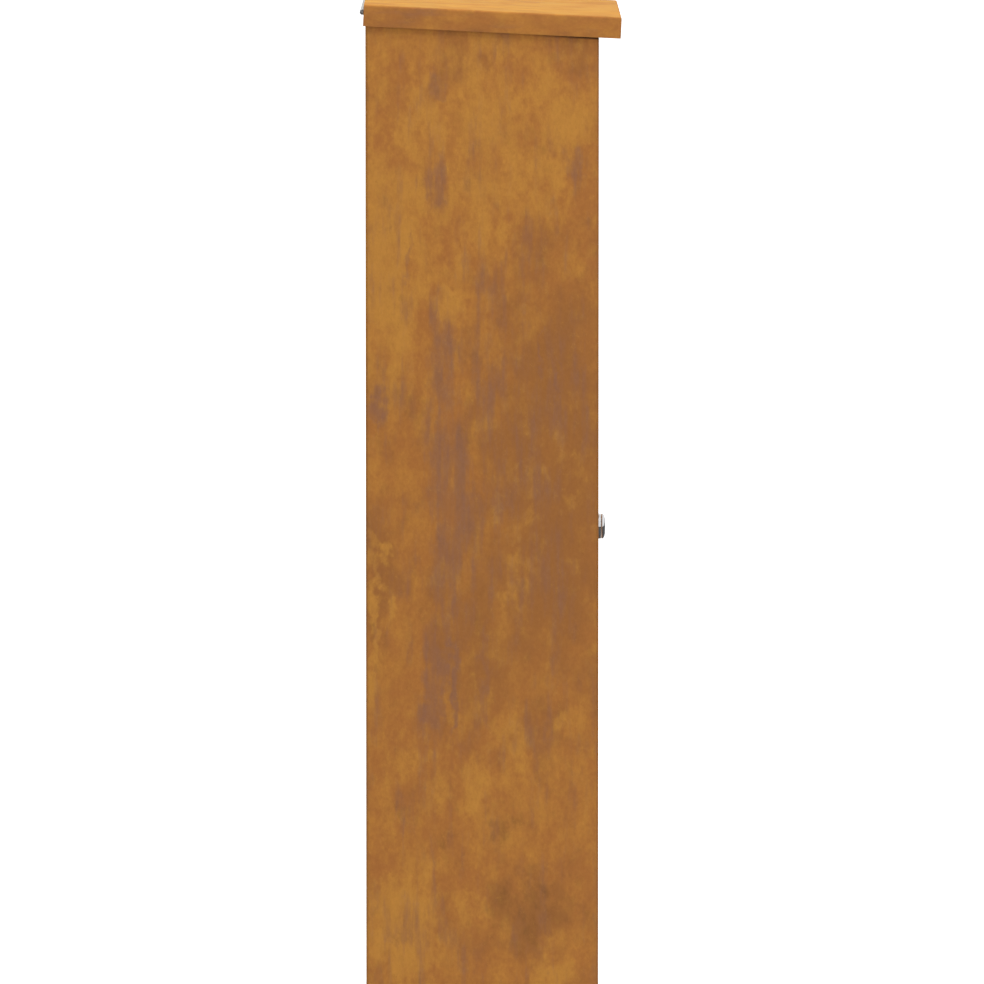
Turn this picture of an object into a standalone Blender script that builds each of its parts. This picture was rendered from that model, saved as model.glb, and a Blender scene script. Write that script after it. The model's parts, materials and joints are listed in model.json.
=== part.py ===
"""A free-standing letter column of folded weathering steel: a sheet-metal body, a sloping lid on a
piano hinge, an inset front door on a second piano hinge, and a cam lock under a domed dust cover.

Metres, +Z up. X is the width, the front faces -Y, the origin is the middle of the foot on the ground.
"""

import bmesh
import bpy
from math import atan2, cos, pi, radians, sin, sqrt, tan
from mathutils import Matrix, Vector

# Body. The height is that of the lid's rear top edge, and what lies under the lid hangs on it
WIDTH = 0.370
DEPTH = 0.225
HEIGHT = 1.1004
SHEET = 0.002
BEND_RADIUS = 0.003
BACK_BELOW_AXIS = 0.0014
SIDE_FRONT_BELOW_AXIS = 0.0252
SIDE_SLOPE = radians(4.93)
FRONT_RETURN = 0.025
JAMB_DEPTH = 0.018

# Front below and above the door
DOOR_BOTTOM = 0.202
DOOR_TOP_BELOW_AXIS = 0.0984
DOOR_GAP = 0.002
STOP_LIP = 0.012
HEADER_TOP_FLANGE = 0.020
HEADER_TOP_LIP = 0.010
LOWER_FLANGE = 0.015

# Foot and floor
BASE_THICKNESS = 0.004
ANCHOR_RADIUS = 0.0055
ANCHOR_INSET_X = 0.040
ANCHOR_INSET_Y = 0.035
DRAIN_RADIUS = 0.006
FLOOR_FLANGE = 0.012
LEDGE_WIDTH = 0.020
LEDGE_LENGTH = 0.150

# Lid, measured square to its own top
LID_TILT = radians(2.8)
LID_SIDE_CLEARANCE = 0.001
LID_REAR_LIP = 0.0013
LID_OVERHANG = 0.0235
LID_FLANGE = 0.021
LID_TOP_ABOVE_AXIS = 0.008
LID_BEND_RADIUS = 0.0025

# Piano hinges
KNUCKLE_RADIUS = 0.0026
LEAF = 0.001
PIN_RADIUS = 0.00125
PIN_CROWN = 0.33
LEAF_LENGTH = 0.012
TOP_LEAF_LENGTH = 0.016
LID_HINGE_INSET = 0.005
LID_HINGE_KNUCKLES = 13
DOOR_HINGE_MARGIN = 0.010
DOOR_HINGE_KNUCKLES = 17
DOOR_AXIS_SETBACK = 0.0012
CURL_END = radians(115)

# Rivets
RIVET_RADIUS = 0.0016
RIVET_HEAD_RADIUS = 0.0030
RIVET_HEAD = 0.0008
RIVET_TAIL = 0.0010
RIVET_LINE = 0.0067
RIVET_STAGGER = 0.012
RIVETS = 5
RIVET_MARGIN = 0.030
# Shares of the head's radius or height at which its crown and its set tail turn
RIVET_CROWN = 0.7
RIVET_SHOULDER = 0.8
RIVET_TAIL_ROOT = 0.85
RIVET_TAIL_END = 0.6

# Door
DOOR_DEPTH = 0.015

# Lock
LOCK_INSET = 0.043
LOCK_ABOVE_DOOR_BOTTOM = 0.390
BARREL_RADIUS = 0.0095
BARREL_FLAT = 0.00825
LOCK_FLANGE_RADIUS = 0.0122
LOCK_FLANGE = 0.0025
LOCK_FLANGE_ROUND = 0.0008
PLUG_RADIUS = 0.0065
PLUG_DRIVE = 0.0037
KEYWAY_WIDTH = 0.0018
KEYWAY_HEIGHT = 0.0075
KEYWAY_DEPTH = 0.009
PLUG_RECESS = 0.0005
BARREL_END_SETBACK = 0.0005
CAM_CLEARANCE = 0.0005
CAM_THICKNESS = 0.002
CAM_HALF_WIDTH = 0.008
CAM_REACH = 0.030
WASHER_RADIUS = 0.0118
WASHER = 0.0008
NUT_FLAT = 0.011
NUT = 0.004
SCREW_RADIUS = 0.0022
SCREW_HEAD_RADIUS = 0.0055
SCREW_HEAD = 0.003
SCREW_LENGTH = 0.008
# Shares of the screw head's radius or height at which its dome turns
SCREW_CROWN = 0.6
SCREW_RISE = 0.9
SCREW_SHOULDER = 0.3

# Dust cover over the lock
COVER_RIM = 0.0008
COVER_HEIGHT = 0.0036
COVER_CROWN_RADIUS = 0.0055
COVER_RECESS_RADIUS = 0.0072
COVER_RECESS = 0.0012
COVER_PIVOT_RISE = 0.0093
COVER_PIVOT_RADIUS = 0.0012
COVER_PIVOT_HEAD_RADIUS = 0.0021
COVER_PIVOT_HEAD = 0.0008
COVER_PIVOT_CROWN = 0.8
COVER_PIVOT_SEAT = 0.0013
COVER_PIVOT_DEPTH = 0.0015

# Rubber
BUFFER_RADIUS = 0.006
BUFFER_STEM_RADIUS = 0.0025
BUFFER_BULB_RADIUS = 0.0036
BUFFER_BULB = 0.003
BUFFER_HEIGHT = 0.005
BUFFER_INSET = 0.060
PAD_RADIUS = 0.005
PAD_INSET = 0.018
# Shares of the radius or height at which a dome or a pad turns
DOME_CROWN = 0.75
DOME_RISE = 0.88
RUBBER_SHOULDER = 0.6
PAD_CROWN = 0.85

# Fits
GAP = 0.0003
HOLE_CLEARANCE = 0.0003
KNUCKLE_GAP = 0.0004
CUT_MARGIN = 0.002

# Facets
BEND_STEPS = 4
CURL_STEPS = 9
ROUND_STEPS = 24
SMALL_STEPS = 10
ROUND_FOLD = 0.5

X_AXIS = Vector((1, 0, 0))
Y_AXIS = Vector((0, 1, 0))
Z_AXIS = Vector((0, 0, 1))

FRONT = -DEPTH / 2
BACK = DEPTH / 2
SIDE = WIDTH / 2
JAMB = SIDE - FRONT_RETURN
JAMB_END = FRONT + JAMB_DEPTH
STOP_FACE = JAMB_END
LID_LENGTH = DEPTH + LID_OVERHANG
LID_HINGE_LENGTH = WIDTH - 2 * LID_HINGE_INSET
LID_AXIS_HEIGHT = HEIGHT - LID_TOP_ABOVE_AXIS
BACK_HEIGHT = LID_AXIS_HEIGHT - BACK_BELOW_AXIS
SIDE_HEIGHT_FRONT = LID_AXIS_HEIGHT - SIDE_FRONT_BELOW_AXIS
DOOR_TOP = LID_AXIS_HEIGHT - DOOR_TOP_BELOW_AXIS
LOCK_HEIGHT = DOOR_BOTTOM + LOCK_ABOVE_DOOR_BOTTOM

RUST = (0.40, 0.17, 0.05)
STAINLESS = (0.62, 0.62, 0.60)
CHROME = (0.75, 0.75, 0.76)
ZINC = (0.52, 0.52, 0.50)
RUBBER = (0.03, 0.03, 0.03)


def clear_scene():
    for item in list(bpy.data.objects):
        bpy.data.objects.remove(item, do_unlink=True)


def make_material(name, colour, roughness, metallic):
    material = bpy.data.materials.new(name)
    material.use_nodes = True
    shader = material.node_tree.nodes["Principled BSDF"]
    shader.inputs["Base Color"].default_value = (*colour, 1.0)
    shader.inputs["Roughness"].default_value = roughness
    shader.inputs["Metallic"].default_value = metallic
    return material


def rusty(name):
    return make_material(name + "_rust", RUST, 0.85, 0.0)


def stainless(name):
    return make_material(name + "_stainless", STAINLESS, 0.35, 1.0)


def chromed(name):
    return make_material(name + "_chrome", CHROME, 0.12, 1.0)


def zinced(name):
    return make_material(name + "_zinc", ZINC, 0.45, 1.0)


def rubbery(name):
    return make_material(name + "_rubber", RUBBER, 0.75, 0.0)


def new_object(name, bm, material, origin=None, parent=None):
    """A named object from a bmesh in world or parent coordinates, its origin moved to a point."""
    if origin is not None:
        bmesh.ops.translate(bm, vec=-Vector(origin), verts=bm.verts)
    bmesh.ops.recalc_face_normals(bm, faces=bm.faces)
    mesh = bpy.data.meshes.new(name)
    bm.to_mesh(mesh)
    bm.free()
    made = bpy.data.objects.new(name, mesh)
    bpy.context.collection.objects.link(made)
    if origin is not None:
        made.location = origin
    if material is not None:
        mesh.materials.append(material(name))
    if parent is not None:
        made.parent = parent
    return made


def new_cutter(name, bm, parent=None):
    cutter = new_object(name, bm, None, parent=parent)
    cutter.hide_render = True
    cutter.display_type = "WIRE"
    return cutter


def smooth(item, angle=30):
    item.data.shade_smooth()
    item.data.set_sharp_from_angle(angle=radians(angle))


def boolean(item, other, operation="DIFFERENCE"):
    modifier = item.modifiers.new(operation.lower() + "_" + other.name, "BOOLEAN")
    modifier.object = other
    modifier.operation = operation
    modifier.solver = "EXACT"


def prism(bm, outline, low, high, origin=(0, 0, 0), u=X_AXIS, v=Y_AXIS, along=Z_AXIS):
    """Extrudes a closed outline, given in the u, v plane, from low to high along a third direction."""
    origin = Vector(origin)
    ends = []
    for level in (low, high):
        base = origin + along * level
        ends.append([bm.verts.new(base + u * p[0] + v * p[1]) for p in outline])
    bm.faces.new(ends[0])
    bm.faces.new(ends[1])
    count = len(outline)
    for i in range(count):
        j = (i + 1) % count
        bm.faces.new((ends[0][i], ends[0][j], ends[1][j], ends[1][i]))
    return bm


def block(bm, low, high):
    outline = [(low[0], low[1]), (high[0], low[1]), (high[0], high[1]), (low[0], high[1])]
    return prism(bm, outline, low[2], high[2])


def circle(radius, steps, centre=(0, 0), start=0.0):
    turns = [start + 2 * pi * i / steps for i in range(steps)]
    return [(centre[0] + radius * cos(t), centre[1] + radius * sin(t)) for t in turns]


def bore(radius, steps, centre=(0, 0)):
    """A hole's outline, turned by half a facet so that its corners miss those of turned solids."""
    return circle(radius, steps, centre, pi / steps)


def arc(centre, radius, begin, end, steps):
    turns = [begin + (end - begin) * i / steps for i in range(steps + 1)]
    return [(centre[0] + radius * cos(t), centre[1] + radius * sin(t)) for t in turns]


def lathe(bm, profile, steps, centre, axis, across):
    """Turns a profile of (radius, distance along the axis) points. Points on the axis become poles."""
    centre = Vector(centre)
    third = axis.cross(across)
    rings = []
    for radius, distance in profile:
        base = centre + axis * distance
        if radius < 1e-9:
            rings.append([bm.verts.new(base)])
        else:
            rings.append([bm.verts.new(base + across * x + third * y) for x, y in circle(radius, steps)])
    closed = len(rings[0]) > 1
    pairs = list(zip(rings, rings[1:]))
    if closed:
        pairs.append((rings[-1], rings[0]))
    for one, other in pairs:
        for i in range(steps):
            j = (i + 1) % steps
            if len(one) == 1:
                bm.faces.new((one[0], other[i], other[j]))
            elif len(other) == 1:
                bm.faces.new((one[i], one[j], other[0]))
            else:
                bm.faces.new((one[i], one[j], other[j], other[i]))
    return bm


def folded_outline(corners, sheet, bend_radius):
    """The outline of a folded sheet. The corners run along one skin, with the sheet on their left."""
    points = [Vector(c) for c in corners]
    first = (points[1] - points[0]).normalized()
    skin = [points[0]]
    back = [points[0] + Vector((-first.y, first.x)) * sheet]
    for before, corner, after in zip(points, points[1:], points[2:]):
        into = (corner - before).normalized()
        out = (after - corner).normalized()
        left = Vector((-into.y, into.x))
        turn = atan2(into.cross(out), into.dot(out))
        side = 1 if turn > 0 else -1
        skin_radius = bend_radius if side > 0 else bend_radius - sheet
        back_radius = bend_radius - sheet if side > 0 else bend_radius
        setback = skin_radius * tan(abs(turn) / 2)
        centre = corner - into * setback + left * skin_radius * side
        for step in range(BEND_STEPS + 1):
            radial = Matrix.Rotation(turn * step / BEND_STEPS, 2) @ (left * -side)
            skin.append(centre + radial * skin_radius)
            back.append(centre + radial * back_radius)
    last = (points[-1] - points[-2]).normalized()
    skin.append(points[-1])
    back.append(points[-1] + Vector((-last.y, last.x)) * sheet)
    return [tuple(p) for p in skin + back[::-1]]


def folded_tray(name, low, high, open_sides, radius, material, parent=None, origin=None):
    """A tray folded from one sheet: a box without its open sides, its corners rounded, walled inwards."""
    bm = bmesh.new()
    block(bm, low, high)
    bmesh.ops.recalc_face_normals(bm, faces=bm.faces)
    gone = [f for f in bm.faces if any(f.normal.dot(side) > 0.9 for side in open_sides)]
    bmesh.ops.delete(bm, geom=gone, context="FACES")
    folds = [e for e in bm.edges if len(e.link_faces) == 2]
    bmesh.ops.bevel(bm, geom=folds, offset=radius, segments=BEND_STEPS, affect="EDGES", profile=ROUND_FOLD)
    middle = sum((v.co for v in bm.verts), Vector()) / len(bm.verts)
    bmesh.ops.recalc_face_normals(bm, faces=bm.faces)
    widest = max(bm.faces, key=lambda f: f.calc_area())
    if widest.normal.dot(widest.calc_center_median() - middle) < 0:
        bmesh.ops.reverse_faces(bm, faces=bm.faces)
    if origin is not None:
        bmesh.ops.translate(bm, vec=-Vector(origin), verts=bm.verts)
    mesh = bpy.data.meshes.new(name)
    bm.to_mesh(mesh)
    bm.free()
    tray = bpy.data.objects.new(name, mesh)
    bpy.context.collection.objects.link(tray)
    tray.parent = parent
    if origin is not None:
        tray.location = origin
    mesh.materials.append(material(name))
    wall = tray.modifiers.new("sheet", "SOLIDIFY")
    wall.thickness = SHEET
    wall.offset = -1
    wall.use_even_offset = True
    smooth(tray)
    return tray


def spread(count, low, high):
    return [low + (high - low) * i / (count - 1) for i in range(count)]


# Places that several pieces share
LID_AXIS = Vector((0, BACK + GAP + KNUCKLE_RADIUS, LID_AXIS_HEIGHT))
DOOR_AXIS_X = JAMB - GAP - KNUCKLE_RADIUS
DOOR_AXIS_Y = FRONT + DOOR_AXIS_SETBACK
DOOR_HINGE_SIDE = DOOR_AXIS_X - KNUCKLE_RADIUS - GAP
DOOR_LOCK_SIDE = -JAMB + DOOR_GAP
DOOR_BACK = FRONT + DOOR_DEPTH
HEADER_BOTTOM = DOOR_TOP + DOOR_GAP
LOWER_TOP = DOOR_BOTTOM - DOOR_GAP
INFILL = JAMB - GAP
LID_RIVET_Z = LID_AXIS_HEIGHT - RIVET_LINE
DOOR_RIVET_Y = DOOR_AXIS_Y + RIVET_LINE
DOOR_HINGE_LOW = DOOR_BOTTOM + DOOR_HINGE_MARGIN
DOOR_HINGE_HIGH = DOOR_TOP - DOOR_HINGE_MARGIN
LID_RIVETS_AT = spread(RIVETS, -LID_HINGE_LENGTH / 2 + RIVET_MARGIN, LID_HINGE_LENGTH / 2 - RIVET_MARGIN)
JAMB_RIVETS_AT = spread(RIVETS, DOOR_HINGE_LOW + RIVET_MARGIN, DOOR_HINGE_HIGH - RIVET_MARGIN)
DOOR_RIVETS_AT = [z + RIVET_STAGGER for z in JAMB_RIVETS_AT[:-1]] + [JAMB_RIVETS_AT[-1] - RIVET_STAGGER]
RIVET_HOLE = RIVET_RADIUS + HOLE_CLEARANCE


def lid_underside(y):
    """Height of the closed lid's inner face over a place on the depth axis."""
    inner = LID_TOP_ABOVE_AXIS - SHEET
    return LID_AXIS_HEIGHT + (y - LID_AXIS.y) * tan(LID_TILT) + inner / cos(LID_TILT)


HEADER_TOP = lid_underside(FRONT) - GAP - BUFFER_HEIGHT
BUFFER_Y = FRONT + HEADER_TOP_FLANGE / 2
LOCK_X = -SIDE + LOCK_INSET
FLOOR_TOP = LOWER_TOP + STOP_LIP - SHEET


def holes_along_y(places, radius, y_low, y_high, steps=SMALL_STEPS):
    bm = bmesh.new()
    for x, z in places:
        prism(bm, bore(radius, steps, (x, z)), y_low, y_high, u=X_AXIS, v=Z_AXIS, along=Y_AXIS)
    return bm


def holes_along_x(places, radius, x_low, x_high, steps=SMALL_STEPS):
    bm = bmesh.new()
    for y, z in places:
        prism(bm, bore(radius, steps, (y, z)), x_low, x_high, u=Y_AXIS, v=Z_AXIS, along=X_AXIS)
    return bm


def holes_along_z(places, radius, z_low, z_high, steps=SMALL_STEPS):
    bm = bmesh.new()
    for x, y in places:
        prism(bm, bore(radius, steps, (x, y)), z_low, z_high)
    return bm


def make_body_shell():
    corners = [
        (JAMB, JAMB_END),
        (JAMB, FRONT),
        (SIDE, FRONT),
        (SIDE, BACK),
        (-SIDE, BACK),
        (-SIDE, FRONT),
        (-JAMB, FRONT),
        (-JAMB, JAMB_END),
    ]
    bm = bmesh.new()
    prism(bm, folded_outline(corners, SHEET, BEND_RADIUS), 0, BACK_HEIGHT)
    shell = new_object("body_shell", bm, rusty)

    # The sides rise to the back; behind the corner bends the back stands up to carry the hinge
    step_y = BACK - BEND_RADIUS - GAP
    far = FRONT - CUT_MARGIN
    slope = tan(SIDE_SLOPE)
    wedge = [
        (far, SIDE_HEIGHT_FRONT - CUT_MARGIN * slope),
        (step_y, SIDE_HEIGHT_FRONT + (step_y - FRONT) * slope),
        (step_y, BACK_HEIGHT + CUT_MARGIN),
        (far, BACK_HEIGHT + CUT_MARGIN),
    ]
    bm = bmesh.new()
    reach = SIDE + CUT_MARGIN
    prism(bm, wedge, -reach, reach, u=Y_AXIS, v=Z_AXIS, along=X_AXIS)
    boolean(shell, new_cutter("cut_side_slope", bm))

    places = [(x, LID_RIVET_Z) for x in LID_RIVETS_AT]
    bm = holes_along_y(places, RIVET_HOLE, BACK - SHEET - CUT_MARGIN, BACK + CUT_MARGIN)
    boolean(shell, new_cutter("cut_lid_rivets", bm))
    places = [(DOOR_RIVET_Y, z) for z in JAMB_RIVETS_AT]
    bm = holes_along_x(places, RIVET_HOLE, JAMB - CUT_MARGIN, JAMB + SHEET + CUT_MARGIN)
    boolean(shell, new_cutter("cut_jamb_rivets", bm))
    smooth(shell)
    return shell


def make_front_header():
    top_end = FRONT + HEADER_TOP_FLANGE
    corners = [
        (top_end, HEADER_TOP - HEADER_TOP_LIP),
        (top_end, HEADER_TOP),
        (FRONT, HEADER_TOP),
        (FRONT, HEADER_BOTTOM),
        (STOP_FACE, HEADER_BOTTOM),
        (STOP_FACE, HEADER_BOTTOM - STOP_LIP),
    ]
    bm = bmesh.new()
    outline = folded_outline(corners, SHEET, BEND_RADIUS)
    prism(bm, outline, -INFILL, INFILL, u=Y_AXIS, v=Z_AXIS, along=X_AXIS)
    header = new_object("front_header", bm, rusty)
    places = [(side * (JAMB - BUFFER_INSET), BUFFER_Y) for side in (-1, 1)]
    hole = BUFFER_STEM_RADIUS + HOLE_CLEARANCE
    bm = holes_along_z(places, hole, HEADER_TOP - SHEET - CUT_MARGIN, HEADER_TOP + CUT_MARGIN)
    boolean(header, new_cutter("cut_buffer_stems", bm))
    smooth(header)
    return header


def make_lower_front_panel():
    foot = BASE_THICKNESS + GAP
    corners = [
        (STOP_FACE, LOWER_TOP + STOP_LIP),
        (STOP_FACE, LOWER_TOP),
        (FRONT, LOWER_TOP),
        (FRONT, foot),
        (FRONT + LOWER_FLANGE, foot),
    ]
    bm = bmesh.new()
    outline = folded_outline(corners, SHEET, BEND_RADIUS)
    prism(bm, outline, -INFILL, INFILL, u=Y_AXIS, v=Z_AXIS, along=X_AXIS)
    panel = new_object("lower_front_panel", bm, rusty)
    smooth(panel)
    return panel


def make_base_plate():
    wide = SIDE - SHEET - GAP
    rear = BACK - SHEET - GAP
    corner = BEND_RADIUS
    behind_jamb = JAMB_END + GAP
    outline = [
        (-INFILL, FRONT + GAP),
        (INFILL, FRONT + GAP),
        (INFILL, behind_jamb),
        (wide, behind_jamb),
        (wide, rear - corner),
        (wide - corner, rear),
        (-wide + corner, rear),
        (-wide, rear - corner),
        (-wide, behind_jamb),
        (-INFILL, behind_jamb),
    ]
    bm = bmesh.new()
    prism(bm, outline, 0, BASE_THICKNESS)
    plate = new_object("base_plate", bm, rusty)
    anchors = [
        (sx * (SIDE - ANCHOR_INSET_X), sy * (BACK - ANCHOR_INSET_Y)) for sx in (-1, 1) for sy in (-1, 1)
    ]
    bm = holes_along_z(anchors, ANCHOR_RADIUS, -CUT_MARGIN, BASE_THICKNESS + CUT_MARGIN)
    boolean(plate, new_cutter("cut_anchor_holes", bm))
    drain = [(0, BACK - ANCHOR_INSET_Y)]
    bm = holes_along_z(drain, DRAIN_RADIUS, -CUT_MARGIN, BASE_THICKNESS + CUT_MARGIN)
    boolean(plate, new_cutter("cut_drain_hole", bm))
    smooth(plate)
    return plate


def make_letter_floor():
    front = STOP_FACE + SHEET + GAP
    rear = BACK - SHEET - GAP
    corners = [
        (rear, FLOOR_TOP - FLOOR_FLANGE),
        (rear, FLOOR_TOP),
        (front, FLOOR_TOP),
        (front, FLOOR_TOP - FLOOR_FLANGE),
    ]
    bm = bmesh.new()
    outline = folded_outline(corners, SHEET, BEND_RADIUS)
    half = SIDE - SHEET - GAP - BEND_RADIUS + SHEET
    prism(bm, outline, -half, half, u=Y_AXIS, v=Z_AXIS, along=X_AXIS)
    letter_floor = new_object("letter_floor", bm, rusty)
    drains = [(sx * (JAMB - ANCHOR_INSET_X), BACK - ANCHOR_INSET_Y) for sx in (-1, 1)]
    bm = holes_along_z(drains, DRAIN_RADIUS, FLOOR_TOP - SHEET - CUT_MARGIN, FLOOR_TOP + CUT_MARGIN)
    boolean(letter_floor, new_cutter("cut_floor_drains", bm))
    smooth(letter_floor)
    return letter_floor


def make_floor_ledge(name, side):
    top = FLOOR_TOP - SHEET - GAP
    wall = SIDE - SHEET - GAP
    corners = [(wall, top - LEDGE_WIDTH), (wall, top), (wall - LEDGE_WIDTH, top)]
    outline = [(side * x, z) for x, z in folded_outline(corners, SHEET, BEND_RADIUS)]
    bm = bmesh.new()
    half = LEDGE_LENGTH / 2
    prism(bm, outline, -half, half, u=X_AXIS, v=Z_AXIS, along=Y_AXIS)
    ledge = new_object(name, bm, rusty)
    smooth(ledge)
    return ledge


def straight_leaf_outline():
    """A leaf that hangs along -v on the -u side of its axis, its upper end rolled round the pin."""
    outer = KNUCKLE_RADIUS
    inner = KNUCKLE_RADIUS - LEAF
    outline = [(-outer, -LEAF_LENGTH)]
    outline += arc((0, 0), outer, pi, -CURL_END, CURL_STEPS)
    outline += arc((0, 0), inner, -CURL_END, pi, CURL_STEPS)
    outline.append((-inner, -LEAF_LENGTH))
    return outline


def turned_leaf_outline():
    """A leaf that rises on the -u side of its axis and turns forward under the lid's top."""
    outer = KNUCKLE_RADIUS
    inner = KNUCKLE_RADIUS - LEAF
    top = LID_TOP_ABOVE_AXIS - SHEET - GAP
    bend_outer = LEAF + GAP
    bend_inner = GAP
    centre = (-inner - bend_outer, top - bend_outer)
    outline = [(-TOP_LEAF_LENGTH, top - LEAF)]
    outline += arc(centre, bend_inner, pi / 2, 0, BEND_STEPS)
    outline += arc((0, 0), outer, pi, 2 * pi + CURL_END, CURL_STEPS)
    outline += arc((0, 0), inner, 2 * pi + CURL_END, pi, CURL_STEPS)
    outline += arc(centre, bend_outer, 0, pi / 2, BEND_STEPS)
    outline.append((-TOP_LEAF_LENGTH, top))
    return outline


def make_leaf(name, outline, rise, length, knuckles, first, axis_point, u, v, along, parent=None):
    """One leaf of a piano hinge: the rolled sheet, notched where the other leaf's knuckles sit."""
    bm = bmesh.new()
    half = length / 2
    prism(bm, outline, -half, half, axis_point, u, v, along)
    leaf = new_object(name, bm, stainless, parent=parent)
    pitch = length / knuckles
    near = -rise * (KNUCKLE_RADIUS + KNUCKLE_GAP)
    far = rise * (KNUCKLE_RADIUS + CUT_MARGIN)
    side = KNUCKLE_RADIUS + CUT_MARGIN
    notch = [(-side, near), (side, near), (side, far), (-side, far)]
    bm = bmesh.new()
    for i in range(first, knuckles, 2):
        low = -half + i * pitch - KNUCKLE_GAP / 2
        high = low + pitch + KNUCKLE_GAP
        if i == 0:
            low -= CUT_MARGIN
        if i == knuckles - 1:
            high += CUT_MARGIN
        prism(bm, notch, low, high, axis_point, u, v, along)
    boolean(leaf, new_cutter("cut_" + name, bm, parent))
    return leaf


def make_pin(name, length, axis_point, along, across):
    bm = bmesh.new()
    half = length / 2
    crown = PIN_RADIUS * PIN_CROWN
    profile = [
        (0, -half),
        (PIN_RADIUS - crown, -half),
        (PIN_RADIUS, -half + crown),
        (PIN_RADIUS, half - crown),
        (PIN_RADIUS - crown, half),
        (0, half),
    ]
    lathe(bm, profile, SMALL_STEPS, axis_point, along, across)
    pin = new_object(name, bm, stainless, origin=axis_point)
    smooth(pin)
    return pin


def make_rivet(name, head_seat, grip, outward, across, parent=None):
    """A rivet whose head sits on a leaf and whose tail is set behind the sheet."""
    head = GAP / 2
    tail = -grip - GAP / 2
    profile = [
        (0, head + RIVET_HEAD),
        (RIVET_HEAD_RADIUS * RIVET_CROWN, head + RIVET_HEAD * RIVET_SHOULDER),
        (RIVET_HEAD_RADIUS, head),
        (RIVET_RADIUS, head),
        (RIVET_RADIUS, tail),
        (RIVET_HEAD_RADIUS * RIVET_TAIL_ROOT, tail),
        (RIVET_HEAD_RADIUS * RIVET_TAIL_END, tail - RIVET_TAIL),
        (0, tail - RIVET_TAIL),
    ]
    bm = bmesh.new()
    lathe(bm, profile, SMALL_STEPS, head_seat, outward, across)
    rivet = new_object(name, bm, stainless, origin=head_seat, parent=parent)
    smooth(rivet)
    return rivet


def make_lid_hinge(lid_pivot):
    outline = straight_leaf_outline()
    length = LID_HINGE_LENGTH
    knuckles = LID_HINGE_KNUCKLES
    name = "lid_hinge_body_leaf"
    leaf = make_leaf(name, outline, 1, length, knuckles, 1, LID_AXIS, Y_AXIS, Z_AXIS, X_AXIS)
    bm = holes_along_y([(x, LID_RIVET_Z) for x in LID_RIVETS_AT], RIVET_HOLE, BACK, LID_AXIS.y)
    boolean(leaf, new_cutter("cut_lid_leaf_rivets", bm))
    smooth(leaf)
    outline = turned_leaf_outline()
    name = "lid_hinge_lid_leaf"
    local = Vector((0, 0, 0))
    top_leaf = make_leaf(name, outline, -1, length, knuckles, 0, local, Y_AXIS, Z_AXIS, X_AXIS, lid_pivot)
    smooth(top_leaf)
    make_pin("lid_hinge_pin", length, LID_AXIS, X_AXIS, Y_AXIS)
    seat = BACK + GAP + LEAF
    for number, x in enumerate(LID_RIVETS_AT, 1):
        make_rivet(f"lid_hinge_rivet_{number}", (x, seat, LID_RIVET_Z), LEAF + GAP + SHEET, Y_AXIS, X_AXIS)


def make_door_hinge(door_pivot):
    height = DOOR_HINGE_HIGH - DOOR_HINGE_LOW
    middle = (DOOR_HINGE_HIGH + DOOR_HINGE_LOW) / 2
    axis_point = Vector((DOOR_AXIS_X, DOOR_AXIS_Y, middle))
    outline = straight_leaf_outline()
    knuckles = DOOR_HINGE_KNUCKLES
    name = "door_hinge_jamb_leaf"
    jamb_leaf = make_leaf(name, outline, 1, height, knuckles, 1, axis_point, -X_AXIS, -Y_AXIS, Z_AXIS)
    places = [(DOOR_RIVET_Y, z) for z in JAMB_RIVETS_AT]
    bm = holes_along_x(places, RIVET_HOLE, DOOR_AXIS_X, JAMB)
    boolean(jamb_leaf, new_cutter("cut_jamb_leaf_rivets", bm))
    smooth(jamb_leaf)

    local = axis_point - door_pivot.location
    name = "door_hinge_door_leaf"
    door_leaf = make_leaf(name, outline, 1, height, knuckles, 0, local, X_AXIS, -Y_AXIS, Z_AXIS, door_pivot)
    places = [(RIVET_LINE, z - door_pivot.location.z) for z in DOOR_RIVETS_AT]
    bm = holes_along_x(places, RIVET_HOLE, -KNUCKLE_RADIUS - GAP, 0)
    boolean(door_leaf, new_cutter("cut_door_leaf_rivets", bm, door_pivot))
    smooth(door_leaf)

    make_pin("door_hinge_pin", height, axis_point, Z_AXIS, X_AXIS)
    grip = LEAF + GAP + SHEET
    seat = DOOR_AXIS_X + KNUCKLE_RADIUS - LEAF
    for number, z in enumerate(JAMB_RIVETS_AT, 1):
        make_rivet(f"door_hinge_jamb_rivet_{number}", (seat, DOOR_RIVET_Y, z), grip, -X_AXIS, Y_AXIS)
    seat = -KNUCKLE_RADIUS + LEAF
    for number, z in enumerate(DOOR_RIVETS_AT, 1):
        place = (seat, RIVET_LINE, z - door_pivot.location.z)
        make_rivet(f"door_hinge_door_rivet_{number}", place, grip, X_AXIS, Y_AXIS, door_pivot)


def make_lid(lid_pivot):
    half = SIDE + LID_SIDE_CLEARANCE + SHEET
    rear = -LID_REAR_LIP
    low = (-half, rear - LID_LENGTH, LID_TOP_ABOVE_AXIS - LID_FLANGE)
    high = (half, rear, LID_TOP_ABOVE_AXIS)
    return folded_tray("lid", low, high, (-Z_AXIS, Y_AXIS), LID_BEND_RADIUS, rusty, lid_pivot)


def double_d(radius, half_flat):
    """A round bar's outline with two opposite flats."""
    limit = atan2(sqrt(radius**2 - half_flat**2), half_flat)
    upper = arc((0, 0), radius, limit, pi - limit, 2 * BEND_STEPS)
    lower = arc((0, 0), radius, pi + limit, 2 * pi - limit, 2 * BEND_STEPS)
    return upper + lower


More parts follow.
